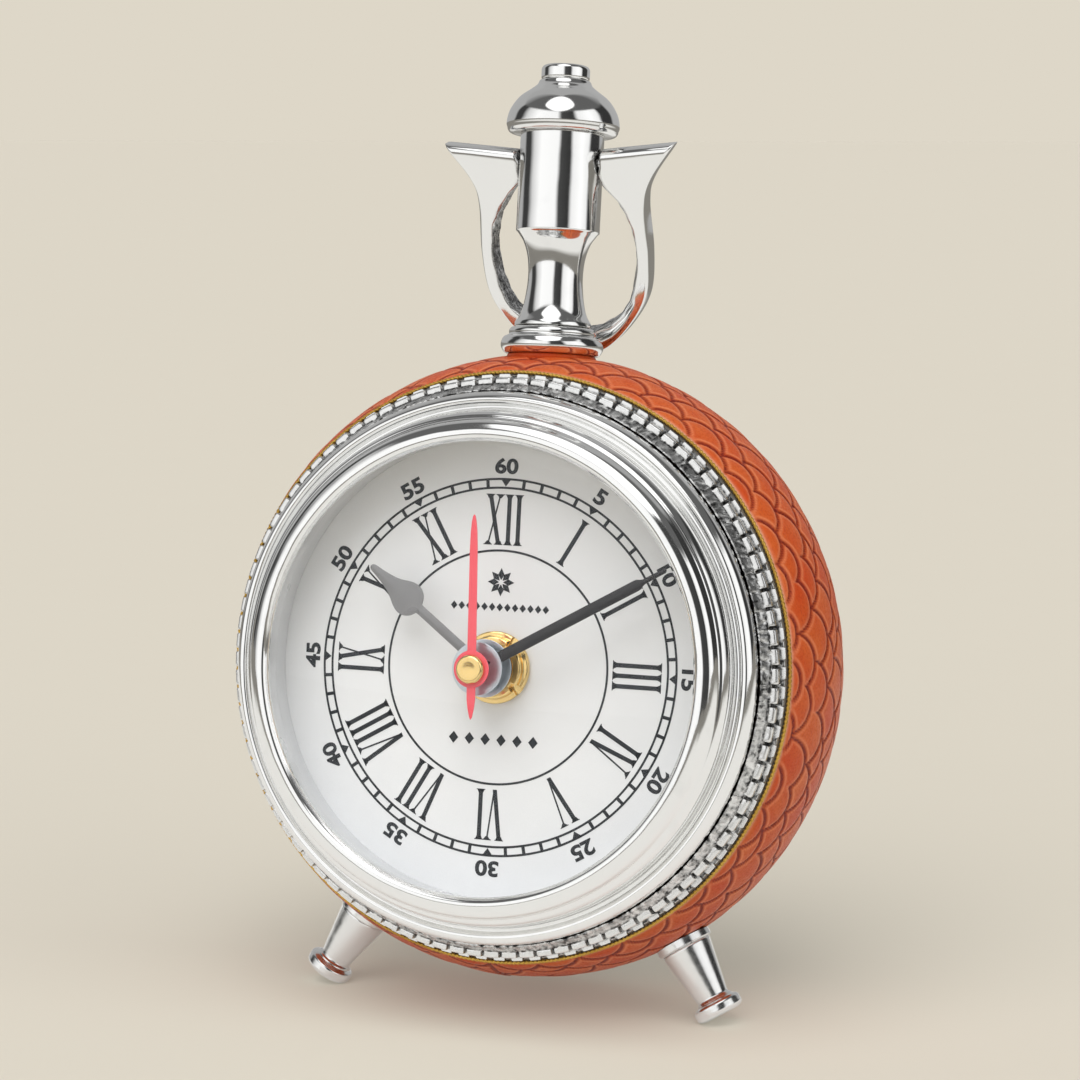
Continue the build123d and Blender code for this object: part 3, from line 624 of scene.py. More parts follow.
@dataclass(frozen=True)
class ScaledLeather:
    """Embossed leather: orange-tan scales, deep red painted shade in the creases, a pale painted highlight band
    beside them, and a fine pebble.
    """

    name: str = "scaled_leather_finish"
    scale: tuple[float, float, float] = (0.50, 0.052, 0.004)
    worn: tuple[float, float, float] = (0.57, 0.112, 0.018)
    # Colour of the painted shade in the creases, also used for the seam's dark line and the dark speckle of the
    # pebble.
    crease: tuple[float, float, float] = (0.13, 0.005, 0.004)
    # Colour of the painted highlight band beside the creases.
    ridge: tuple[float, float, float] = (0.74, 0.25, 0.11)
    raw: tuple[float, float, float] = (0.70, 0.36, 0.22)

    def build(self) -> bpy.types.Material:
        """Makes the material from the crease, ridge, tone and raw fields of the leather: the crease field
        paints shade, the ridge field a highlight.

        Returns:
            The material.
        """
        tree = Tree(self.name)
        pebble = tree.noise(0.45, 4.0, rough=0.6)
        patches = tree.sums(tree.spread(tree.noise(5.0, 4.0), 0.0, 0.6, 0.35, 0.7), tree.field("tone"))
        color = tree.mix(patches, self.scale, self.worn)
        speckled = tree.mix(pebble, self.crease, self.scale)
        color = tree.mix(tree.spread(pebble, 0.0, 0.7, 0.5, 0.75), color, speckled)
        # Painted highlight: a pale band beside each crease.
        color = tree.mix(tree.field("ridge"), color, self.ridge)
        color = tree.mix(tree.field("raw"), color, self.raw)
        # Painted shade: the creases darken to deep red; the seam's cut is darkened by the same field.
        color = tree.mix(tree.field("crease"), color, self.crease)
        tree.set(Base_Color=color, Specular_IOR_Level=0.28, Coat_Weight=0.08, Coat_Roughness=0.25)
        tree.set(Sheen_Weight=0.04, Sheen_Roughness=0.4, Sheen_Tint=(1.0, 0.75, 0.65))
        tree.set(Roughness=tree.spread(pebble, 0.36, 0.6, 0.3, 0.7))
        height = tree.sums(pebble, tree.sums(tree.cells(0.7), 0.5, "MULTIPLY"))
        tree.relief(height, 0.07)
        return tree.material


@dataclass(frozen=True)
class ClearGlass:
    """Clear glass that lets lamplight straight through to the dial."""

    name: str = "clear_glass_finish"

    def build(self) -> bpy.types.Material:
        """Makes the material: glass to the eye, and nothing at all to a lamp's rays.

        Returns:
            The material.
        """
        tree = Tree(self.name)
        tree.set(Base_Color=(1.0, 1.0, 1.0), Transmission_Weight=1.0, IOR=1.2)
        tree.set(Roughness=tree.spread(tree.noise(20.0), 0.0, 0.012, 0.3, 0.7))
        path = tree.nodes.new("ShaderNodeLightPath")
        lamp = tree.sums(path.outputs["Is Shadow Ray"], path.outputs["Is Diffuse Ray"], "MAXIMUM")
        through = tree.nodes.new("ShaderNodeBsdfTransparent")
        mixed = tree.nodes.new("ShaderNodeMixShader")
        tree.links.new(lamp, mixed.inputs[0])
        tree.links.new(tree.shader.outputs[0], mixed.inputs[1])
        tree.links.new(through.outputs[0], mixed.inputs[2])
        tree.links.new(mixed.outputs[0], tree.output.inputs["Surface"])
        return tree.material


class Finish(Enum):
    """The clock's finishes, each with the record's slot that it belongs to."""

    NICKEL = (Polished("polished_nickel_finish"), "polished_nickel")
    SATIN_NICKEL = (Polished("satin_nickel_finish", color=(0.80, 0.80, 0.79), smooth=0.13, dull=0.27,
                             wave_mm=4.0, wave_depth=0.012), "satin_nickel")
    AGED_NICKEL = (Cast("aged_nickel_and_shade_finish"), "aged_nickel")
    BOW_NICKEL = (Cast("bow_nickel_finish", bright=(0.86, 0.86, 0.85), dark=(0.06, 0.06, 0.06), polish=0.08,
                       pit_mm=0.7, depth_mm=0.15), "polished_nickel")
    LEATHER = (ScaledLeather(), "scaled_leather")
    GILT_CORD = (Satin("gilt_cord_finish", color=(0.78, 0.50, 0.10), shade=(0.40, 0.20, 0.03),
                       roughness=0.38, metallic=0.8, grain_mm=0.2, grain_depth=0.02), "gilt_cord")
    GLASS = (ClearGlass(), "clear_glass")
    DIAL = (Satin("white_dial_finish", color=(0.82, 0.83, 0.835), shade=(0.78, 0.79, 0.80), roughness=0.42,
                  grain_mm=0.25, grain_depth=0.004, coat=0.05), "white_dial")
    PRINT = (Satin("dial_print_finish", color=(0.012, 0.015, 0.019), shade=(0.022, 0.026, 0.031),
                   roughness=0.5), "white_dial")
    INNER_WALL = (Satin("satin_grey_finish", color=(0.70, 0.71, 0.72), shade=(0.62, 0.63, 0.64),
                        roughness=0.32, metallic=0.35), "satin_grey")
    BRASS = (Polished("brass_finish", color=(0.86, 0.62, 0.26), smooth=0.12, dull=0.26, wave_mm=3.0,
                      wave_depth=0.01, stain=(0.70, 0.44, 0.14)), "brass")
    HOUR_GREY = (Satin("hour_hand_finish", color=(0.26, 0.26, 0.265), shade=(0.21, 0.21, 0.215),
                       roughness=0.3, metallic=0.3, grain_mm=0.3, grain_depth=0.004), "grey_paint")
    MINUTE_DARK = (Satin("minute_hand_finish", color=(0.010, 0.010, 0.012), shade=(0.016, 0.016, 0.018),
                         roughness=0.3, grain_mm=0.4, grain_depth=0.003, coat=0.15), "dark_paint")
    HUB_STEEL = (Polished("hub_steel_finish", color=(0.58, 0.62, 0.66), smooth=0.32, dull=0.42, wave_mm=5.0,
                          wave_depth=0.004, stain=(0.40, 0.43, 0.46)), "grey_paint")
    SECOND_RED = (Satin("second_hand_finish", color=(0.86, 0.10, 0.13), shade=(0.80, 0.08, 0.11),
                        roughness=0.35, grain_mm=0.4, grain_depth=0.003, coat=0.3), "red_paint")
    STEEL = (Polished("steel_finish", color=(0.60, 0.60, 0.60), smooth=0.18, dull=0.34, wave_mm=2.0,
                      wave_depth=0.01), "steel")
    COPPER = (Satin("copper_finish", color=(0.62, 0.24, 0.09), shade=(0.45, 0.14, 0.05), roughness=0.3,
                    metallic=0.9, grain_mm=0.25, grain_depth=0.03, stretch=(1, 9, 9)), "copper_wire")
    CAST_ALLOY = (Satin("cast_alloy_finish", color=(0.46, 0.46, 0.45), shade=(0.34, 0.34, 0.33),
                        roughness=0.55, metallic=0.9, grain_mm=0.7, grain_depth=0.05), "cast_aluminium")
    BLACK_PAINT = (Satin("black_paint_finish", color=(0.018, 0.018, 0.019), shade=(0.03, 0.03, 0.03),
                         roughness=0.5, grain_mm=0.5, grain_depth=0.05), "black_paint")
    BLACK_PLASTIC = (Satin("black_plastic_finish", color=(0.016, 0.016, 0.017), shade=(0.026, 0.026, 0.027),
                           roughness=0.42, grain_mm=0.35, grain_depth=0.03), "black_plastic")
    WHITE_PLASTIC = (Satin("white_plastic_finish", color=(0.78, 0.76, 0.71), shade=(0.70, 0.68, 0.62),
                           roughness=0.35), "white_plastic")
    RUBBER = (Satin("black_rubber_finish", color=(0.02, 0.02, 0.02), shade=(0.03, 0.03, 0.03),
                    roughness=0.8, grain_mm=0.6, grain_depth=0.04), "black_rubber")
    FIBREBOARD = (Satin("fibreboard_finish", color=(0.36, 0.24, 0.14), shade=(0.26, 0.17, 0.10),
                        roughness=0.85, grain_mm=0.6, grain_depth=0.05, stretch=(1, 1, 4)), "fibreboard")
    BOARD = (Satin("green_board_finish", color=(0.015, 0.13, 0.05), shade=(0.01, 0.08, 0.03), roughness=0.3,
                   grain_mm=0.5, grain_depth=0.02, coat=0.3), "green_board")
    CELL = (Satin("cell_sleeve_finish", color=(0.05, 0.07, 0.11), shade=(0.08, 0.09, 0.12), roughness=0.28,
                  metallic=0.3, grain_mm=0.6, grain_depth=0.004, coat=0.4), "cell_sleeve")

    def material(self) -> bpy.types.Material:
        """The finish's material, made once."""
        recipe = self.value[0]
        return bpy.data.materials.get(recipe.name) or recipe.build()


def dress(piece: bpy.types.Object, finish: Finish, body: str, *nodes: str) -> bpy.types.Object:
    """Gives a new piece its finish and its body, and hides the nodes that it stands for.

    Args:
        piece: The piece to dress.
        finish: Its finish, which also names its slot.
        body: The body that it rides on.
        *nodes: Nodes of the part that it stands for.

    Returns:
        The same piece.
    """
    piece.data.materials.clear()
    piece.data.materials.append(finish.material())
    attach(piece, body)
    if nodes:
        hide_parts(*nodes)
    log.info("%s rides on %s: %d faces", piece.name, body, len(piece.data.polygons))
    return piece


# ---------------------------------------------------------------- drum
@dataclass
class LeatherWrap:
    """The embossed leather and the twisted cords at its edges.

    sway is how far chance moves a scale, as a share of its column and of its row. scale_wide and scale_tall
    are a scale's least size as a share of its column or row, and how much more chance may add.
    """

    columns: int = 38
    row_mm: float = 4.2
    relief_mm: float = 0.5
    crease_mm: float = 0.26
    crease_depth: float = 0.14
    # Where the painted highlight band sits off a scale's rim, and how wide it is.
    ridge_at: float = 0.62
    ridge_mm: float = 0.24
    tip_mm: float = 0.7
    sway: tuple[float, float] = (0.22, 0.5)
    scale_wide: tuple[float, float] = (0.56, 0.06)
    scale_tall: tuple[float, float] = (1.5, 0.3)
    edge_mm: float = 0.9
    edge_fall: float = 0.35
    seam_mm: float = 0.35
    lap_mm: float = 3.0
    lap_rise: float = 0.28
    around: int = 900
    across: int = 92
    cord_r: float = 0.4
    cord_twists: int = 420
    seam_angle: float = math.radians(180.5)
    drum: Drum = field(default_factory=Drum)

    def scales(self, u: np.ndarray, v: np.ndarray, pitch: float) -> tuple[np.ndarray, ...]:
        """Overlapping scales in staggered rows: the row nearest the front lies on top.

        Each scale is an ellipse with its own small shift, size and tone. A point belongs to the foremost
        ellipse that covers it. Height rises towards a scale's tip and falls at its rim; a crease follows
        the nearest rim, and the material paints shade into it. A pale band a set distance from the rim is a
        painted highlight, brighter where the scale stands higher.

        Args:
            u: Distance round the drum, in millimetres.
            v: Distance across the leather from its front edge.
            pitch: Width of a column.

        Returns:
            Height, crease, ridge and tone at each point.
        """
        chance = np.random.default_rng(11).random((64, self.columns, 4))
        row0, col0 = np.floor(v / self.row_mm).astype(int), u / pitch
        height, tone = np.zeros_like(u), np.zeros_like(u)
        rim = np.full(u.shape, 1e3)
        for step in (1, 0, -1, -2, -3):
            row = row0 + step
            shift = 0.5 * (row % 2)
            near = np.round(col0 - shift).astype(int)
            for side in (-1, 1, 0):
                column = near + side
                luck = chance[row % 64, column % self.columns]
                middle_u = (column + shift + self.sway[0] * (luck[..., 0] - 0.5)) * pitch
                middle_v = (row + self.sway[1] * (luck[..., 1] - 0.5)) * self.row_mm
                wide = pitch * (self.scale_wide[0] + self.scale_wide[1] * luck[..., 2])
                tall = self.row_mm * (self.scale_tall[0] + self.scale_tall[1] * luck[..., 0])
                reach = np.hypot((u - middle_u) / wide, (v - middle_v) / tall)
                inside = reach < 1
                distance = np.abs(1 - reach) * np.minimum(wide, tall)
                climb = np.clip((v - middle_v + self.row_mm) / (tall + self.row_mm), 0, 1)
                rounding = 1 - np.exp(-np.maximum(1 - reach, 0) * tall / self.tip_mm)
                height = np.where(inside, (0.35 + 0.65 * climb) * rounding, height)
                tone = np.where(inside, luck[..., 3], tone)
                rim = np.where(inside, distance, np.minimum(rim, distance))
        # The crease mask cuts each groove and, in the material, paints shade into it.
        crease = np.exp(-(rim / self.crease_mm) ** 2)
        # Painted highlight: a pale band a set distance from the nearest rim, brighter where the scale stands
        # higher.
        ridge = np.exp(-((rim - self.ridge_at) / self.ridge_mm) ** 2) * (0.25 + 0.5 * height)
        return height, crease, ridge, tone

    def wrap(self) -> bpy.types.Object:
        """The leather: a bulged band pushed in and out by its scales, with raw edges and a seam below.

        Returns:
            The piece, at the origin.
        """
        front, rear = self.drum.front - self.drum.inset, self.drum.rear + self.drum.inset
        z_outer = np.linspace(front - 0.35, rear + 0.35, self.across)
        r_outer = self.drum.radius(z_outer, self.drum.leather) - 0.22
        z_inner = np.linspace(rear, front, 12)
        r_inner = self.drum.radius(z_inner) + 0.03
        angle = np.linspace(0, TURN, self.around, endpoint=False)
        run = np.concatenate([[0], np.cumsum(np.hypot(np.diff(z_outer), np.diff(r_outer)))])
        u, v = np.meshgrid(angle * self.drum.wide_r, run, indexing="ij")
        height, crease, ridge, tone = self.scales(u, v, self.drum.wide_r * TURN / self.columns)
        seam = (angle[:, None] - self.seam_angle) * self.drum.wide_r
        cut = np.exp(-(seam / self.seam_mm) ** 2)
        crease = np.maximum(crease, cut)
        lapped = np.where(seam > 0, np.exp(-seam / self.lap_mm), 0) * self.lap_rise
        edge = np.clip(np.minimum(run, run[-1] - run) / self.edge_mm, 0, 1)[None, :]
        lift = ((height - 0.55) * self.relief_mm - self.crease_depth * crease) * edge
        lift = lift + lapped * edge - (1 - edge) ** 2 * self.edge_fall
        ends = np.array([[r_inner[-1] + 0.02, front], [r_outer[0] - 0.42, front + 0.05],
                         [r_outer[0] - 0.12, front - 0.1]])
        tail = np.array([[r_outer[-1] - 0.12, rear + 0.1], [r_outer[-1] - 0.42, rear - 0.05]])
        radius = np.concatenate([np.broadcast_to(ends[:, 0], (self.around, 3)), r_outer + lift,
                                 np.broadcast_to(tail[:, 0], (self.around, 2)),
                                 np.broadcast_to(r_inner, (self.around, 12))], 1)
        z = np.concatenate([ends[:, 1], z_outer, tail[:, 1], z_inner])[None, :]
        grid = DIAL_AXIS.points(radius, z, angle[:, None])

        def padded_out(values: np.ndarray, outside: float) -> np.ndarray:
            """Fits a field of the outer face to the whole section, with one value on the rest."""
            rest = np.full((self.around, 1), outside)
            return np.concatenate([np.repeat(rest, 3, 1), values, np.repeat(rest, 14, 1)], 1)

        raw = padded_out(np.broadcast_to((1 - edge) ** 4, u.shape), 1.0)
        # The crease field paints shade in the creases and darkens the seam's cut; the ridge field paints a
        # highlight.
        return surface("leather_wrap", grid, wrap_u=True, wrap_v=True, sharp_deg=80,
                       crease=padded_out(crease * edge, 0.0), ridge=padded_out(ridge * edge, 0.0),
                       tone=padded_out(tone * 0.5, 0.2), raw=raw)

    def cord(self, name: str, z: float) -> bpy.types.Object:
        """Two-strand twisted cord: a ring whose section is a figure of eight that turns as it goes round.

        Args:
            name: The piece's name.
            z: Height of the cord's middle.

        Returns:
            The piece, at the origin.
        """
        angle = np.linspace(0, TURN, self.cord_twists * 6, endpoint=False)[:, None]
        around = np.linspace(0, TURN, 8, endpoint=False)[None, :]
        lobes = self.cord_r * (0.76 + 0.24 * np.cos(2 * around - angle * self.cord_twists))
        radius = self.drum.edge_r + self.cord_r + 0.35 + lobes * np.cos(around)
        grid = DIAL_AXIS.points(radius, z + lobes * np.sin(around), angle)
        return surface(name, grid, wrap_u=True, wrap_v=True, sharp_deg=180)

    def build(self) -> None:
        """Makes the leather and both cords."""
        dress(self.wrap(), Finish.LEATHER, "case", "leather_band")
        off = self.drum.inset - self.cord_r - 0.02
        dress(self.cord("front_cord", self.drum.front - off), Finish.GILT_CORD, "case", "front_piping")
        dress(self.cord("rear_cord", self.drum.rear + off), Finish.GILT_CORD, "case", "rear_piping")


@dataclass
class Rims:
    """The metal round the dial: bezel, toothed ring and rear ring."""

    teeth: int = 96
    per_tooth: int = 14
    gap_share: float = 0.085
    gap_slope: float = 0.03
    dash_at: float = 0.30
    dash_slope: float = 0.04
    roughness_mm: float = 0.05

    def bezel(self) -> bpy.types.Object:
        """Bezel: a rounded lip, a falling shoulder with two steps, a groove and a bead, closed behind.

        Returns:
            The piece, at the origin.
        """
        profile = rounded([
            (41.0, 10.3, 0.2), (41.0, 11.0, 0.35), (41.8, 12.05, 0.8), (42.9, 12.1, 0.7), (44.55, 11.35, 0.8),
            (45.25, 9.5, 0.4), (45.9, 9.3, 0.35), (46.5, 8.4, 0.6), (46.95, 6.9, 0.5), (47.1, 5.1, 0.4),
            (47.85, 5.0, 0.3), (48.15, 5.95, 0.5), (49.1, 6.2, 0.6), (50.1, 5.3, 0.8), (50.45, 3.9, 0.6),
            (50.52, 0.15, 0.2), (49.1, 0.15, 0.2), (49.0, 2.4, 0.3), (46.6, 4.6, 0.5), (44.6, 8.2, 0.5),
            (42.8, 9.4, 0.2), (42.8, 10.3, 0.2),
        ], closed=True, steps=7)
        return turned("bezel_shell", DIAL_AXIS, profile, closed=True, segments=320, sharp_deg=60)

    def toothed_ring(self) -> bpy.types.Object:
        """Ring with square lugs: the section swaps between a lug's and a gap's as it goes round.

        Returns:
            The piece, at the origin.
        """
        lug = np.array([
            (50.72, -3.05), (50.72, 2.3), (50.95, 2.25), (51.2, 1.7), (51.45, 1.2), (51.7, 0.75),
            (51.95, 0.35), (52.05, 0.12), (52.2, 0.02), (52.6, 0.06), (53.0, -0.02), (53.14, -0.1),
            (53.24, -0.3), (53.26, -1.2), (53.24, -2.1), (53.1, -2.32), (53.1, -2.5), (53.55, -2.52),
            (53.95, -2.55), (54.02, -2.65), (54.0, -3.0), (53.7, -3.08),
        ])
        gap = lug.copy()
        gap[8:16, 0] = np.linspace(52.08, 52.3, 8)
        gap[8:16, 1] = np.linspace(-0.1, -2.32, 8)
        low = lug.copy()
        low[17:21, 0] -= 0.45
        share = np.linspace(0, 1, self.per_tooth, endpoint=False)
        share = (share - 0.045 * np.sin(TURN * share)) % 1
        phase = (np.arange(self.teeth)[:, None] + share).ravel()
        away = np.abs((phase + 0.5) % 1 - 0.5)
        cut = np.clip((self.gap_share + 0.025 - away) / self.gap_slope, 0, 1)[:, None, None]
        dash = np.abs((phase + 0.15) % 1 - 0.5)
        dashed = np.clip((dash - self.dash_at) / self.dash_slope, 0, 1)[:, None, None]
        section = lug + (gap - lug) * cut + (low - lug) * dashed
        rough = grain((len(phase), len(lug)), 1, 5)
        land = np.zeros(len(lug))
        land[1:8], land[8:15] = 1.0, 0.10
        section = section + (rough * land * self.roughness_mm)[..., None]
        angle = phase[:, None] * TURN / self.teeth
        # Points 1 to 7 are the rough land, 9 to 15 the lug's face, and 17 to 20 the low row behind it.
        lug_face, rear_row = np.zeros(len(lug)), np.zeros(len(lug))
        lug_face[9:16], rear_row[17:21] = 1.0, 1.0
        # Painted shade by profile point: the corner between land and lug (points 6 and 7) and the step under
        # the lug (15 and 16); the land's own darkness (1 to 5) is its rough casting.
        land_and_corner_shade = np.zeros(len(lug))
        land_and_corner_shade[1:6], land_and_corner_shade[6:8], land_and_corner_shade[8:15], land_and_corner_shade[15:17] = 0.42, 1.0, 0.04, 0.8
        # Painted shade in the gaps between lugs and in the notches of the low row behind them, on top of the
        # darkness by profile point.
        pits = np.clip(cut[..., 0] * lug_face + dashed[..., 0] * rear_row + land_and_corner_shade * (1 + 0.5 * rough), 0, 1)
        grid = DIAL_AXIS.points(section[..., 0], section[..., 1], angle)
        return surface("toothed_rim", grid, wrap_u=True, wrap_v=True, sharp_deg=35,
                       pits=np.broadcast_to(pits, rough.shape))

    def rear_ring(self) -> bpy.types.Object:
        """Plain rounded ring behind the leather.

        Returns:
            The piece, at the origin.
        """
        profile = rounded([(50.9, -37.9, 0.2), (54.3, -37.9, 0.3), (54.1, -39.1, 0.7), (52.6, -39.4, 0.8),
                           (51.0, -39.2, 0.4)], closed=True)
        return turned("rear_rim", DIAL_AXIS, profile, closed=True, segments=240, sharp_deg=50)

    def build(self) -> None:
        """Makes the three rings."""
        dress(self.bezel(), Finish.NICKEL, "case", "bezel")
        dress(self.toothed_ring(), Finish.AGED_NICKEL, "case", "toothed_ring")
        dress(self.rear_ring(), Finish.NICKEL, "case", "rear_ring")


# ---------------------------------------------------------------- glass and dial
@dataclass
class Window:
    """The domed glass and the wall between it and the dial."""

    glass_r: float = 42.4
    edge_z: float = 9.75
    rise: float = 5.95
    thick: float = 0.85

    def glass(self) -> bpy.types.Object:
        """Glass: two slices of a ball one thickness apart, joined by a straight rim.

        Returns:
            The piece, at the origin.
        """
        ball = (self.glass_r ** 2 + self.rise ** 2) / (2 * self.rise)
        radius = np.linspace(0, self.glass_r, 40)
        inner = self.edge_z + self.rise - ball + np.sqrt(ball ** 2 - radius ** 2)
        outer = np.stack([radius, inner + self.thick], -1)
        outline = np.concatenate([np.stack([radius, inner], -1), outer[::-1]])
        return turned("glass_dome", DIAL_AXIS, outline, closed=True, segments=160, sharp_deg=60)

    def wall(self) -> bpy.types.Object:
        """Inner wall: a wide cove off the dial, then two shallow steps up to the glass.

        Returns:
            The piece, at the origin.
        """
        profile = rounded([
            (43.85, 0.02, 0.1), (42.55, 0.02, 0.3), (42.35, 1.2, 1.0), (41.95, 5.2, 0.6), (41.75, 5.7, 0.2),
            (41.75, 6.2, 0.2), (41.55, 6.4, 0.2), (41.5, 9.3, 0.1), (42.6, 9.3, 0.1), (43.85, 6.0, 0.4),
        ], closed=True)
        return turned("inner_wall", DIAL_AXIS, profile, closed=True, segments=240, sharp_deg=50)

    def build(self) -> None:
        """Makes the glass and the wall."""
        dress(self.glass(), Finish.GLASS, "case", "glass")
        dress(self.wall(), Finish.INNER_WALL, "case", "reflector_ring")


@dataclass
class DialPrint:
    """Everything printed on the dial: Roman hours, minute track, minute numbers and two plain ornaments."""

    track_outer: float = 34.5
    track_inner: float = 32.9
    circle_r: float = 21.4
    hour_low: float = 22.4
    hour_high: float = 31.7
    number_r: float = 36.9
    number_mm: float = 2.95
    number_wide: float = 1.22
    number_bold: float = 0.034
    line: float = 0.40
    low: float = 0.012
    high: float = 0.05
    hours: tuple[str, ...] = ("XII", "I", "II", "III", "IV", "V", "VI", "VII", "VIII", "IX", "X", "XI")
    thick: float = 0.80
    thin: float = 0.30
    serif: float = 0.84

    def circle(self, name: str, radius: float, width: float) -> bpy.types.Object:
        """Printed circle of a line width.

        Args:
            name: The piece's name.
            radius: Radius of the line's middle.
            width: Width of the line.

        Returns:
            The piece, at the origin.
        """
        r, w = radius, width / 2
        profile = np.array([(r - w, self.low), (r + w, self.low), (r + w, self.high), (r - w, self.high)])
        return turned(name, DIAL_AXIS, profile, closed=True, segments=240)

    def stroke(self, bottom: float, top: float, low: float, high: float,
               width: float) -> list[list[tuple]]:
        """A straight stroke between two places along the foot and head lines, as one four-sided outline.

        Args:
            bottom: Place of its middle at the foot.
            top: Place of its middle at the head.
            low: Height of the foot.
            high: Height of the head.
            width: Width across.

        Returns:
            One outline.
        """
        w = width / 2
        return [[(bottom - w, low), (bottom + w, low), (top + w, high), (top - w, high)]]

    def foot(self, x: float, y: float, up: int, width: float) -> list[list[tuple]]:
        """A serif: a thin bar with a short taper towards the stroke.

        Args:
            x: Place of the stroke's middle.
            y: Height of the bar's outer side.
            up: 1 where the stroke goes up from it, -1 where it goes down.
            width: Width of the stroke.

        Returns:
            Two outlines: the bar and the taper.
        """
        s, w, bar, taper = self.serif, width / 2, 0.16, 0.75
        return [[(x - s, y), (x + s, y), (x + s, y + up * bar), (x - s, y + up * bar)],
                [(x - s * 0.8, y + up * bar), (x + s * 0.8, y + up * bar), (x + w, y + up * taper),
                 (x - w, y + up * taper)]]

    def numeral(self, text: str) -> np.ndarray:
        """Outlines of one Roman numeral that stands upright at twelve.

        Args:
            text: The numeral's letters.

        Returns:
            Outlines shaped (shapes, 4, 2).
        """
        low, high = self.hour_low, self.hour_high
        widths = {"I": 1.9, "V": 3.7, "X": 3.7}
        x = -sum(widths[letter] for letter in text) / 2
        shapes: list[list[tuple]] = []
        for letter in text:
            middle = x + widths[letter] / 2
            if letter == "I":
                shapes += self.stroke(middle, middle, low, high, self.thick)
                shapes += self.foot(middle, low, 1, self.thick) + self.foot(middle, high, -1, self.thick)
            elif letter == "V":
                shapes += self.stroke(middle + 0.1, middle - 1.15, low, high, self.thick)
                shapes += self.stroke(middle + 0.2, middle + 1.25, low, high, self.thin)
                shapes += self.foot(middle - 1.15, high, -1, self.thick)
                shapes += self.foot(middle + 1.25, high, -1, self.thin)
            else:
                shapes += self.stroke(middle + 0.95, middle - 0.95, low, high, self.thick)
                shapes += self.stroke(middle - 1.1, middle + 1.0, low, high, self.thin)
                shapes += self.foot(middle - 0.95, high, -1, self.thick)
                shapes += self.foot(middle + 1.0, high, -1, self.thin)
                shapes += self.foot(middle + 0.95, low, 1, self.thick)
                shapes += self.foot(middle - 1.1, low, 1, self.thin)
            x += widths[letter]
        return np.array(shapes, float)

    def hour_numerals(self) -> bpy.types.Object:
        """All twelve numerals, each turned to its hour with its head outwards."""
        turned_all = [spun(self.numeral(text), TURN * hour / 12) for hour, text in enumerate(self.hours)]
        return prisms("hour_numerals", np.concatenate(turned_all), self.low, self.high)

    def minute_bars(self) -> bpy.types.Object:
        """A bar for each minute but the fives.

        Returns:
            The piece, at the origin.
        """
        minutes = np.array([m for m in range(60) if m % 5])
        low, high = self.track_inner, self.track_outer
        bar = np.array([(-0.31, low), (0.31, low), (0.31, high), (-0.31, high)])
        return prisms("minute_bars", spun(bar[None], (minutes * TURN / 60)[:, None]), self.low, self.high)

    def five_marks(self) -> bpy.types.Object:
        """A triangle on the outer circle for every fifth minute, pointing inwards.

        Returns:
            The piece, at the origin.
        """
        mark = np.array([(-1.0, self.track_outer), (1.0, self.track_outer), (0, self.track_outer - 1.35)])
        marks = spun(mark[None], (np.arange(12) * TURN / 12)[:, None])
        return prisms("five_minute_marks", marks, self.low, self.high)

    def minute_numbers(self) -> bpy.types.Object:
        """Bold minute numbers outside the track, each with its head outwards.

        Returns:
            The piece, at the origin.
        """
        points, faces, start = [], [], 0
        for hour in range(12):
            curve = bpy.data.curves.new("digits", "FONT")
            curve.body, curve.align_x, curve.align_y = str(hour * 5 or 60), "CENTER", "CENTER"
            curve.offset, curve.resolution_u = self.number_bold, 4
            maker = bpy.data.objects.new("digits", curve)
            bpy.context.scene.collection.objects.link(maker)
            bpy.context.view_layer.update()
            mesh = bpy.data.meshes.new_from_object(maker.evaluated_get(bpy.context.evaluated_depsgraph_get()))
            flat = np.array([v.co[:2] for v in mesh.vertices])
            flat = flat - (flat.min(0) + flat.max(0)) / 2
            flat = flat * (self.number_wide, 1) * self.number_mm / np.ptp(flat[:, 1]) + (0, self.number_r)
            points.append(spun(flat, TURN * hour / 12))
            faces += [[start + i for i in p.vertices] for p in mesh.polygons]
            start += len(flat)
            bpy.data.objects.remove(maker)
        flat = np.concatenate(points)
        mesh = bpy.data.meshes.new("minute_numbers")
        mesh.from_pydata(CLOCK.place(np.column_stack([flat, np.full(len(flat), self.low)])), [], faces)
        work = bmesh.new()
        work.from_mesh(mesh)
        bmesh.ops.remove_doubles(work, verts=work.verts, dist=1e-7)
        bmesh.ops.recalc_face_normals(work, faces=work.faces)
        sheet = bmesh.ops.extrude_face_region(work, geom=work.faces[:])
        raised = [g for g in sheet["geom"] if isinstance(g, bmesh.types.BMVert)]
        bmesh.ops.translate(work, verts=raised, vec=Vector(-CLOCK.back) * (self.high - self.low) * MM)
        bmesh.ops.recalc_face_normals(work, faces=work.faces)
        work.to_mesh(mesh)
        work.free()
        piece = bpy.data.objects.new("minute_numbers", mesh)
        bpy.context.scene.collection.objects.link(piece)
        return piece

    def ornaments(self) -> bpy.types.Object:
        """A rosette over a row of small lozenges above the centre, and larger lozenges below it.

        Returns:
            The piece, at the origin.
        """
        petal = np.array([(0, 0.4), (0.6, 1.4), (0, 2.6), (-0.6, 1.4)])
        gem = np.array([(0, -0.5), (0.42, 0), (0, 0.5), (-0.42, 0)])
        shapes = [spun(petal[None], (np.arange(8) * TURN / 8)[:, None]) + (0, 15.6)]
        for size, count, width, height in ((1.5, 13, 18.0, 11.0), (2.2, 6, 15.6, -13.3)):
            across = np.linspace(-width / 2, width / 2, count)
            middles = np.stack([across, np.full(count, height)], -1)
            shapes.append(gem[None] * size + middles[:, None])
        return prisms("dial_ornaments", np.concatenate(shapes), self.low, self.high)

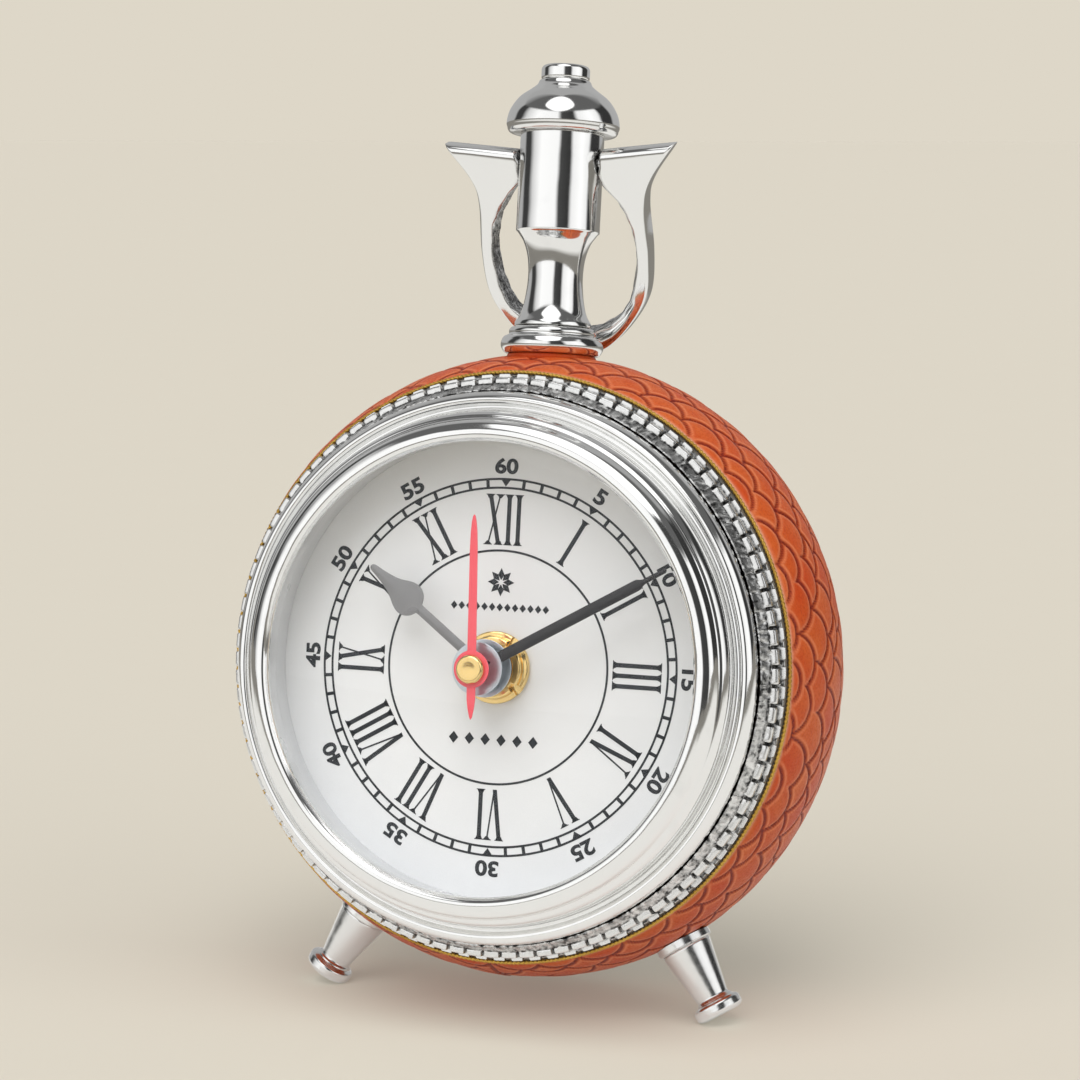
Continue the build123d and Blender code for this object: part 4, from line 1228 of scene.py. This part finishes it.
    def build(self) -> None:
        """Makes the print."""
        for piece in (
            self.circle("track_outer_circle", self.track_outer, self.line),
            self.circle("track_inner_circle", self.track_inner, self.line),
            self.circle("hour_circle", self.circle_r, self.line),
            self.hour_numerals(),
            self.minute_bars(),
            self.five_marks(),
            self.minute_numbers(),
            self.ornaments(),
        ):
            dress(piece, Finish.PRINT, "case")


@dataclass
class Hub:
    """The spanner nut in the middle of the dial, with four notches for the spanner."""

    notches: int = 4
    notch_turn_deg: float = 52
    notch_start_deg: float = 37.5
    notch_slope_deg: float = 1.5
    notch_r: float = 4.9
    flange_z: float = 0.9

    def nut(self) -> bpy.types.Object:
        """Flanged brass nut, notched in four places: its outer radius drops in each notch.

        Returns:
            The piece, at the origin.
        """
        profile = rounded([(3.98, 0.42, 0.05), (6.65, 0.42, 0.15), (6.65, 1.45, 0.3), (5.8, 1.6, 0.15),
                           (5.72, 3.0, 0.35), (4.2, 3.18, 0.2)], closed=True, steps=5)
        angle = np.linspace(0, TURN, 360, endpoint=False)[:, None]
        share_deg = 360 / self.notches
        notch = np.abs((angle / TURN * self.notches - self.notch_turn_deg / share_deg) % 1 - 0.5) * share_deg
        cut = np.clip((notch - self.notch_start_deg) / self.notch_slope_deg, 0, 1)
        cut = cut * (profile[None, :, 1] > self.flange_z)
        radius = profile[None, :, 0] - cut * np.maximum(profile[None, :, 0] - self.notch_r, 0)
        grid = DIAL_AXIS.points(radius, np.broadcast_to(profile[None, :, 1], radius.shape), -angle)
        return surface("spanner_nut", grid, wrap_u=True, wrap_v=True, sharp_deg=35)

    def build(self) -> None:
        """Makes the nut; the washer and the bush keep their own shapes."""
        dress(self.nut(), Finish.BRASS, "case", "dial_nut")


@dataclass
class Hands:
    """The three hands, each with its round boss."""

    hour_deg: float = 306.9
    minute_deg: float = 60.5
    second_deg: float = 358.1

    def boss(self, name: str, outer: float, inner: float, low: float, high: float,
             cup: float) -> bpy.types.Object:
        """Round boss: a dished disc with a soft rim, and a collar below it.

        Args:
            name: The piece's name.
            outer: Outer radius.
            inner: Radius of the hole.
            low: Height of the disc's underside.
            high: Height of its rim.
            cup: How far the collar reaches below it.

        Returns:
            The piece, at the origin.
        """
        profile = rounded([(inner, low - cup, 0.05), (inner + 0.75, low - cup, 0.15), (inner + 0.8, low, 0.3),
                           (outer - 0.1, low, 0.1), (outer, high, 0.12), (outer - 0.7, high + 0.02, 0.2),
                           (inner + 0.8, high - 0.08, 0.2), (inner, high, 0.1)], closed=True)
        return turned(name, DIAL_AXIS, profile, closed=True, segments=96, sharp_deg=35)

    def hour(self) -> bpy.types.Object:
        """Hour hand: a straight arm, and a round swelling that narrows to the tip in a hollow curve.

        Returns:
            The piece, at the origin.
        """
        at = [2.6, 8.0, 16.3, 16.8, 17.2, 17.8, 18.6, 19.6, 20.6, 21.6,
              22.6, 23.8, 25.2, 26.8, 28.3, 28.9, 29.1]
        half = [0.9, 0.9, 0.9, 1.2, 1.95, 2.6, 3.05, 3.2, 3.0, 2.55, 2.0, 1.5, 1.15, 0.85, 0.66, 0.42, 0.05]
        line = smooth_line(list(zip(at, half)), 110)
        return grid_plate("hour_hand_blade", line[:, 0], line[:, 1], low=6.1, high=6.38, crown=0.12,
                          angle_deg=self.hour_deg)

    def minute(self) -> bpy.types.Object:
        """Minute hand: a long even bar, then a short narrow tip.

        Returns:
            The piece, at the origin.
        """
        at = np.array([2.4, 33.6, 34.2, 34.6, 35.2, 39.5, 39.85])
        half = np.array([1.0, 1.0, 0.92, 0.66, 0.46, 0.42, 0.1])
        line = np.unique(np.concatenate([np.linspace(2.4, 39.85, 60), at]))
        width = np.interp(line, at, half)
        return grid_plate("minute_hand_blade", line, width, low=9.53, high=9.78, crown=0.1,
                          angle_deg=self.minute_deg)

    def second(self) -> bpy.types.Object:
        """Second hand: a slim bar with both ends drawn to points.

        Returns:
            The piece, at the origin.
        """
        at = np.array([-9.0, -8.6, -7.0, -5.4, 0.0, 21.5, 24.5, 26.5, 27.4, 27.7])
        half = np.array([0.05, 0.25, 0.6, 0.8, 0.85, 0.72, 0.62, 0.42, 0.22, 0.04])
        line = np.unique(np.concatenate([np.linspace(-9, 27.7, 70), at]))
        width = np.interp(line, at, half)
        return grid_plate("second_hand_blade", line, width, low=12.45, high=12.68, crown=0.06,
                          angle_deg=self.second_deg)

    def cap(self) -> bpy.types.Object:
        """Brass cap with a rounded shoulder and a dimple in its face.

        Returns:
            The piece, at the origin.
        """
        profile = rounded([(0.02, 12.78, 0.0), (2.6, 12.78, 0.1), (2.65, 13.5, 0.3), (2.35, 14.1, 0.35),
                           (1.3, 14.1, 0.35), (0.7, 14.02, 0.3), (0.0, 14.0, 0.0)], steps=6)
        return turned("second_hand_cap", DIAL_AXIS, profile, segments=72, sharp_deg=50)

    def build(self) -> None:
        """Makes the hands, their bosses and the cap."""
        dress(self.hour(), Finish.HOUR_GREY, "hour", "hour_hand")
        boss = self.boss("hour_hand_boss", outer=5.3, inner=2.27, low=6.12, high=6.5, cup=1.2)
        dress(boss, Finish.HUB_STEEL, "hour")
        dress(self.minute(), Finish.MINUTE_DARK, "minute", "minute_hand")
        boss = self.boss("minute_hand_boss", outer=4.85, inner=1.27, low=9.54, high=9.92, cup=1.0)
        dress(boss, Finish.HUB_STEEL, "minute")
        dress(self.second(), Finish.SECOND_RED, "seconds", "second_hand")
        boss = self.boss("second_hand_boss", outer=3.4, inner=0.62, low=12.46, high=12.76, cup=0.3)
        dress(boss, Finish.SECOND_RED, "seconds")
        dress(self.cap(), Finish.BRASS, "seconds", "second_cap")


# ---------------------------------------------------------------- stem, bow and legs
@dataclass
class Stem:
    """The turned pieces above the drum."""

    barrel_r: float = 7.95
    barrel_top: float = 100.6

    def pad(self) -> bpy.types.Object:
        """Leather pad under the collar: a short drum whose underside is sunk in the leather wrap.

        Returns:
            The piece, at the origin.
        """
        profile = rounded([(2.1, 57.6, 0.1), (8.3, 57.4, 0.2), (8.5, 58.3, 0.3), (8.3, 58.75, 0.2),
                           (2.1, 58.75, 0.1)], closed=True)
        return turned("stem_pad", STEM_AXIS, profile, closed=True, segments=96)

    def collar(self) -> bpy.types.Object:
        """Collar: a fat rounded ring and a smaller one on top.

        Returns:
            The piece, at the origin.
        """
        profile = rounded([(2.1, 58.8, 0.1), (9.0, 58.8, 0.5), (9.95, 60.3, 1.1), (9.3, 62.0, 0.9),
                           (8.2, 62.35, 0.4), (8.35, 63.1, 0.4), (7.8, 63.95, 0.5), (2.1, 63.98, 0.1)],
                          closed=True, steps=8)
        return turned("stem_collar_ring", STEM_AXIS, profile, closed=True, segments=128, sharp_deg=60)

    def post(self) -> bpy.types.Object:
        """Post: a flared foot, a waisted neck that widens to a crisp shoulder, and a straight barrel.

        Returns:
            The piece, at the origin.
        """
        neck = smooth_line([(7.3, 64.8), (6.25, 66.6), (5.55, 69.6), (5.2, 73.5), (5.45, 77.0),
                            (6.3, 79.9), (7.6, 81.9)], 40)
        top = rounded([(self.barrel_r, 82.2, 0.12), (self.barrel_r, self.barrel_top, 0.1),
                       (0, self.barrel_top, 0)])
        profile = np.concatenate([[(0, 64.02), (7.1, 64.02), (7.35, 64.25)], neck, top])
        return turned("stem_turned_post", STEM_AXIS, profile, segments=144, sharp_deg=50)

    def cap(self) -> bpy.types.Object:
        """Cap: a bell with a rolled rim and a hollow sweep up to the button's seat.

        Returns:
            The piece, at the origin.
        """
        bell = smooth_line([(10.55, 101.6), (10.75, 102.6), (10.2, 104.9), (8.6, 107.3), (6.4, 109.0),
                            (5.3, 109.9), (4.9, 110.7)], 48)
        rim = rounded([(0, 100.64, 0), (9.5, 100.64, 0.2), (10.2, 100.8, 0.4), (10.5, 101.3, 0.3)])
        profile = np.concatenate([rim, bell, [(4.7, 110.88), (0, 110.88)]])
        return turned("stem_dome_cap", STEM_AXIS, profile, segments=144, sharp_deg=50)

    def button(self) -> bpy.types.Object:
        """Button: a short drum with a raised lip round a shallow dish.

        Returns:
            The piece, at the origin.
        """
        profile = rounded([(0, 110.92, 0), (4.35, 110.92, 0.15), (4.6, 111.3, 0.25), (4.62, 113.1, 0.3),
                           (4.2, 113.68, 0.35), (3.55, 113.66, 0.25), (3.2, 113.2, 0.3), (0, 113.1, 0)],
                          steps=7)
        return turned("stem_top_button", STEM_AXIS, profile, segments=96, sharp_deg=50)

    def build(self) -> None:
        """Makes the stem."""
        dress(self.pad(), Finish.LEATHER, "case", "stem_washer")
        dress(self.collar(), Finish.NICKEL, "case", "stem_collar")
        dress(self.post(), Finish.NICKEL, "case", "stem_post")
        dress(self.cap(), Finish.NICKEL, "case", "stem_cap")
        dress(self.button(), Finish.NICKEL, "case", "stem_button")


@dataclass
class Bow:
    """The lyre-shaped bow: a loop behind the neck that opens into two flared horns."""

    pivot: float = 95.2
    thick: float = 4.5
    edge: float = 0.7
    rough_mm: float = 0.14
    outer: tuple[tuple[float, float], ...] = (
        (0, -37.55), (6.4, -36.15), (11.7, -31.75), (15.9, -25.2), (17.0, -16.9), (16.8, -7.4),
        (18.15, -2.6), (23.1, 4.0))
    inner: tuple[tuple[float, float], ...] = (
        (0, -32.45), (5.0, -31.85), (10.8, -28.3), (13.7, -22.9), (14.45, -14.9), (12.5, -8.5),
        (8.35, -3.0), (8.35, 2.6))

    def outline(self, sections: int) -> tuple[np.ndarray, np.ndarray]:
        """Outer and inner edges from horn to horn: one curve through a half's points and their mirror image.

        Args:
            sections: Points on each half, with the middle one shared.

        Returns:
            The outer edge and the inner edge.
        """
        edges = []
        for half in (np.array(self.outer), np.array(self.inner)):
            edges.append(smooth_line([*(half[:0:-1] * (-1, 1)), *half], 2 * sections - 1))
        return edges[0], edges[1]

    def loop(self) -> bpy.types.Object:
        """The casting: at each step along the loop, a rounded plate section from inner to outer edge.

        Returns:
            The piece, at the origin.
        """
        outer, inner = self.outline(90)
        width = np.linalg.norm(outer - inner, axis=1)[:, None]
        across = (outer - inner) / width
        steps = np.arange(24)
        turn = (steps // 6 * 0.25 + (steps % 6) / 5 * 0.25) * TURN
        corner = (steps // 6 * 0.25 + 0.125) * TURN
        side = width / 2 - self.edge + self.edge * np.cos(turn) * np.sign(np.cos(corner))
        side = side * np.sign(np.cos(corner))
        deep = (self.thick / 2 - self.edge) * np.sign(np.sin(corner)) + self.edge * np.sin(turn)
        rough = grain(side.shape, 2, 9)
        inward = np.clip(-np.cos(turn), 0, 1)[None, :]
        side = side - rough * inward * self.rough_mm
        middle = (outer + inner) / 2
        flat = middle[:, None] + across[:, None] * side[..., None]
        fade = np.ones(len(outer))
        fade[:3], fade[-3:] = (0.55, 0.85, 0.96), (0.96, 0.85, 0.55)
        deep = np.broadcast_to(deep, side.shape) * fade[:, None]
        down, back = math.cos(BOW_TILT), math.sin(BOW_TILT)
        y, z = flat[..., 1] * down - deep * back, flat[..., 1] * back + deep * down
        grid = np.stack([flat[..., 0], self.pivot + y, DRUM.mid + z], -1)
        caps = [np.broadcast_to(g.mean(0), g.shape)[None] for g in (grid[0], grid[-1])]
        grid = np.concatenate([caps[0], grid, caps[1]])
        pits = np.broadcast_to(inward ** 2 * 0.75, side.shape)
        pits = np.concatenate([pits[:1], pits, pits[-1:]])
        return surface("bow_loop", grid, wrap_v=True, sharp_deg=50, pits=pits)

    def build(self) -> None:
        """Makes the bow."""
        dress(self.loop(), Finish.BOW_NICKEL, "bow", "bow")


@dataclass
class Legs:
    """Two front legs, turned about slanting axes, and the rear leg and the collars, which keep their shapes."""

    start: float = 60.2
    pad: float = 72.8
    pad_r: float = 4.6
    pad_edge: float = 1.4
    top_r: float = 4.85
    neck_r: float = 3.05

    def leg(self, name: str, spindle: Spindle, start: float, pad: float) -> bpy.types.Object:
        """Turned leg: a straight taper, a small fillet ring, and a rounded pad flattened where it rests.

        Args:
            name: The piece's name.
            spindle: The leg's axis.
            start: Distance along it to the leg's top.
            pad: Distance along it to the pad's middle.

        Returns:
            The piece, at the origin.
        """
        neck = pad - self.pad_edge - 0.7
        profile = rounded([
            (0, start, 0), (self.top_r - 0.1, start, 0.3), (self.top_r, start + 0.4, 0.3),
            (self.neck_r, neck, 0.3), (self.neck_r + 0.45, neck + 0.45, 0.25),
            (self.pad_r - 1.0, pad - self.pad_edge, 0.3), (self.pad_r, pad - 0.9, 0.9),
            (self.pad_r, pad + 0.9, 0.9), (self.pad_r - 1.0, pad + self.pad_edge, 0.6),
            (0, pad + self.pad_edge, 0)], steps=8)
        piece = turned(name, spindle, profile, segments=96, sharp_deg=50)
        self.rest(piece)
        return piece

    def rest(self, piece: bpy.types.Object) -> None:
        """Presses what would reach below the table flat onto it.

        Args:
            piece: The leg, whose points are moved.
        """
        points = np.empty(len(piece.data.vertices) * 3, np.float32)
        piece.data.vertices.foreach_get("co", points)
        points.reshape(-1, 3)[:, 2] = np.maximum(points.reshape(-1, 3)[:, 2], 0)
        piece.data.vertices.foreach_set("co", points)

    def build(self) -> None:
        """Makes the three legs."""
        for side, name in ((-1, "left"), (1, "right")):
            piece = self.leg(f"front_leg_{name}", leg_spindle(side), self.start, self.pad)
            dress(piece, Finish.SATIN_NICKEL, "case", f"foot_{name}")
        for node in ("rear_leg", "foot_collars"):
            Dressing.one(node, Finish.SATIN_NICKEL)


# ---------------------------------------------------------------- what keeps its own shape
class Dressing:
    """Finishes for the nodes whose own shape is right."""

    finishes = {
        Finish.CAST_ALLOY: ("case_drum",),
        Finish.DIAL: ("dial",),
        Finish.FIBREBOARD: ("mounting_plate",),
        Finish.BLACK_PAINT: ("back_plate",),
        Finish.BLACK_PLASTIC: ("back_lid", "movement_case", "movement_cover", "setting_knob"),
        Finish.STEEL: ("back_screws", "stator", "quartz_crystal", "battery_contacts", "stem_stud", "stem_nut",
                       "foot_studs", "foot_nuts", "bow_pins"),
        Finish.WHITE_PLASTIC: ("train_bridge", "rotor", "fifth_wheel", "seconds_wheel", "third_wheel",
                               "centre_wheel", "cannon_pinion", "motion_wheel", "hour_wheel"),
        Finish.BRASS: ("centre_bush", "dial_washer"),
        Finish.RUBBER: ("rubber_washer", "glass_gasket"),
        Finish.COPPER: ("coil",),
        Finish.BOARD: ("circuit_board",),
        Finish.CELL: ("battery",),
    }

    @staticmethod
    def one(node: str, finish: Finish) -> None:
        """Gives one node its finish.

        Args:
            node: The node's name.
            finish: Its finish, which also names its slot.
        """
        mesh = frame["nodes"][node].data
        mesh.materials.clear()
        mesh.materials.append(finish.material())

    def build(self) -> None:
        """Dresses every node on the list."""
        for finish, nodes in self.finishes.items():
            for node in nodes:
                self.one(node, finish)
                log.info("%s keeps its shape, in %s", node, finish.name.lower())


# ---------------------------------------------------------------- studio
@dataclass
class Studio:
    """Pale floor, soft lamps, a room of bright panels and dark gaps for metal to mirror, and the camera."""

    camera_place: tuple[float, float, float] = (189.51, 25.74, 494.37)
    look: tuple[float, float, float] = (-0.34611, -0.00384, -0.93819)
    up: tuple[float, float, float] = (-0.0489, 0.9987, 0.0139)
    lens: float = 96.27
    viewer_deg: float = 21.3
    backdrop: tuple[float, float, float] = (0.730, 0.679, 0.578)
    floor_shade: float = 0.908
    floor_glow: float = 0.25
    card_edge: tuple[float, float] = (0.40, 0.65)
    # Degrees to the right of the viewer, and how bright the room is there: two panels with a gap between.
    panels: tuple[tuple[float, float], ...] = (
        (-180, 0.45), (-124, 0.45), (-116, 0.05), (-98, 0.05), (-84, 0.75), (-60, 1.15), (-12, 1.1),
        (-3, 0.07), (24, 0.04), (33, 1.0), (60, 1.2), (79, 1.0), (86, 0.04), (118, 0.04), (126, 0.45),
        (180, 0.45))
    upper: tuple[tuple[float, float], ...] = (
        (-180, 0.42), (-135, 0.42), (-110, 0.13), (110, 0.13), (135, 0.42), (180, 0.42))

    def camera(self) -> None:
        """Camera with its place and two of its directions given in the clock's frame."""
        data = bpy.data.cameras.new("camera")
        data.lens, data.sensor_width, data.clip_start, data.clip_end = self.lens, 36, 0.01, 200
        camera = bpy.data.objects.new("camera", data)
        basis = CLOCK.basis()
        back = -np.array(self.look) @ basis
        right = np.cross(np.array(self.up) @ basis, back)
        right /= np.linalg.norm(right)
        matrix = np.eye(4)
        matrix[:3, :3] = np.stack([right, np.cross(back, right), back], 1)
        matrix[:3, 3] = CLOCK.place(np.array(self.camera_place))
        camera.matrix_world = Matrix(matrix.tolist())
        bpy.context.scene.collection.objects.link(camera)
        bpy.context.scene.camera = camera

    def floor(self) -> None:
        """Large matt floor; metal mirrors it as a white card under the clock, with the dark room past it."""
        mesh = bpy.data.meshes.new("floor")
        mesh.from_pydata([(-60, -60, 0), (60, -60, 0), (60, 60, 0), (-60, 60, 0)], [], [(0, 1, 2, 3)])
        floor = bpy.data.objects.new("floor", mesh)
        bpy.context.scene.collection.objects.link(floor)
        tree = Tree("floor_finish")
        path = tree.nodes.new("ShaderNodeLightPath")
        base = tuple(c * self.floor_shade * (1 - self.floor_glow) for c in self.backdrop)
        tree.set(Emission_Color=self.backdrop, Emission_Strength=self.floor_glow)
        shade = tuple(c * 0.99 for c in base)
        cloudy = tree.mix(tree.noise(40.0, 2.0), base, shade)
        away = tree.nodes.new("ShaderNodeVectorMath")
        away.operation = "LENGTH"
        tree.links.new(tree.where, away.inputs[0])
        past_card = tree.spread(away.outputs["Value"], 0.0, 1.0, *self.card_edge)
        card = tree.mix(past_card, (0.66, 0.66, 0.65), (0.07, 0.07, 0.07))
        tree.set(Base_Color=tree.mix(path.outputs["Is Glossy Ray"], cloudy, card))
        tree.set(Roughness=1.0, Specular_IOR_Level=0.0)
        mesh.materials.append(tree.material)

    def lamp(self, name: str, height_deg: float, right_deg: float, strength: float,
             spread_deg: float) -> None:
        """Far soft lamp that metal doesn't mirror.

        Args:
            name: The lamp's name.
            height_deg: Degrees above the table.
            right_deg: Degrees to the right of the viewer.
            strength: Brightness.
            spread_deg: How wide it looks, in degrees; wider is softer.
        """
        data = bpy.data.lights.new(name, "SUN")
        data.energy, data.angle = strength, math.radians(spread_deg)
        lamp = bpy.data.objects.new(name, data)
        turn, rise = math.radians(self.viewer_deg + right_deg), math.radians(height_deg)
        away = Vector((math.sin(turn) * math.cos(rise), -math.cos(turn) * math.cos(rise), math.sin(rise)))
        lamp.rotation_euler = away.to_track_quat("Z", "Y").to_euler()
        lamp.visible_glossy = False
        bpy.context.scene.collection.objects.link(lamp)

    def room(self) -> None:
        """World light by direction: panels low down, dimmer above, one high round panel, plain to the eye."""
        world = bpy.data.worlds.new("room")
        bpy.context.scene.world = world
        world.use_nodes = True
        nodes, links = world.node_tree.nodes, world.node_tree.links

        def math_node(kind: str, first: bpy.types.NodeSocket,
                      second: object) -> bpy.types.NodeSocket:
            """Arithmetic on two values.

            Args:
                kind: The sum's kind.
                first: Left value.
                second: Right value: a number or another node's output.

            Returns:
                The node's output.
            """
            node = nodes.new("ShaderNodeMath")
            node.operation = kind
            links.new(first, node.inputs[0])
            if isinstance(second, bpy.types.NodeSocket):
                links.new(second, node.inputs[1])
            else:
                node.inputs[1].default_value = second
            return node.outputs[0]

        def ramp(stops: tuple[tuple[float, float], ...]) -> bpy.types.NodeSocket:
            """Brightness by degrees to the right of the viewer.

            Args:
                stops: Degrees and brightness at each stop.

            Returns:
                The node's output.
            """
            node = nodes.new("ShaderNodeValToRGB")
            links.new(share, node.inputs[0])
            band = node.color_ramp
            places = [(degrees / 360 + 0.5, (value, value, value, 1)) for degrees, value in stops]
            band.elements[0].position, band.elements[0].color = places[0]
            band.elements[1].position, band.elements[1].color = places[-1]
            for place, color in places[1:-1]:
                band.elements.new(place).color = color
            return node.outputs[0]

        def blend(fac: bpy.types.NodeSocket, first: bpy.types.NodeSocket,
                  second: object) -> bpy.types.NodeSocket:
            """Colour between two others.

            Args:
                fac: 0 for the first colour, 1 for the second.
                first: First colour.
                second: A colour or another node's output.

            Returns:
                The node's output.
            """
            node = nodes.new("ShaderNodeMix")
            node.data_type = "RGBA"
            links.new(fac, node.inputs[0])
            links.new(first, node.inputs[6])
            if isinstance(second, bpy.types.NodeSocket):
                links.new(second, node.inputs[7])
            else:
                node.inputs[7].default_value = (*second, 1.0)
            return node.outputs[2]

        def step(value: bpy.types.NodeSocket, start: float, end: float) -> bpy.types.NodeSocket:
            """0 before the start, 1 past the end, and even between them.

            Args:
                value: The value to test.
                start: Where it begins to rise.
                end: Where it is 1.

            Returns:
                The node's output.
            """
            node = nodes.new("ShaderNodeMapRange")
            node.inputs["From Min"].default_value, node.inputs["From Max"].default_value = start, end
            links.new(value, node.inputs["Value"])
            return node.outputs[0]

        where = nodes.new("ShaderNodeTexCoord").outputs["Generated"]
        split = nodes.new("ShaderNodeSeparateXYZ")
        links.new(where, split.inputs[0])
        turn = math_node("ARCTAN2", split.outputs["X"], math_node("MULTIPLY", split.outputs["Y"], -1))
        from_viewer = math_node("ADD", math_node("MULTIPLY", turn, 1 / TURN), 1.5 - self.viewer_deg / 360)
        share = math_node("FRACT", from_viewer, 0)
        color = blend(step(split.outputs["Z"], 0.60, 0.66), ramp(self.panels), ramp(self.upper))
        near = nodes.new("ShaderNodeVectorMath")
        near.operation = "DOT_PRODUCT"
        links.new(where, near.inputs[0])
        rise, side = math.radians(64), math.radians(self.viewer_deg - 12)
        flat = math.cos(rise)
        near.inputs[1].default_value = (math.sin(side) * flat, -math.cos(side) * flat, math.sin(rise))
        color = blend(step(near.outputs["Value"], 0.90, 0.915), color, (1.4, 1.4, 1.4))
        path = nodes.new("ShaderNodeLightPath")
        color = blend(path.outputs["Is Camera Ray"], color, self.backdrop)
        links.new(color, nodes["Background"].inputs["Color"])
        nodes["Background"].inputs["Strength"].default_value = 1.0

    def build(self) -> None:
        """Sets the studio up."""
        self.camera()
        self.floor()
        self.room()
        self.lamp("key_lamp", height_deg=60, right_deg=-30, strength=1.18, spread_deg=50)
        self.lamp("fill_lamp", height_deg=48, right_deg=40, strength=0.88, spread_deg=65)
        bpy.context.scene.view_settings.view_transform = "Standard"


def main() -> None:
    """Builds the studio and the clock, sub-assembly by sub-assembly."""
    Studio().build()
    parts = (LeatherWrap(), Rims(), Window(), DialPrint(), Hub(), Hands(), Stem(), Bow(), Legs(), Dressing())
    for part in parts:
        log.info("building %s", type(part).__name__)
        part.build()


if __name__ == "__main__":
    main()
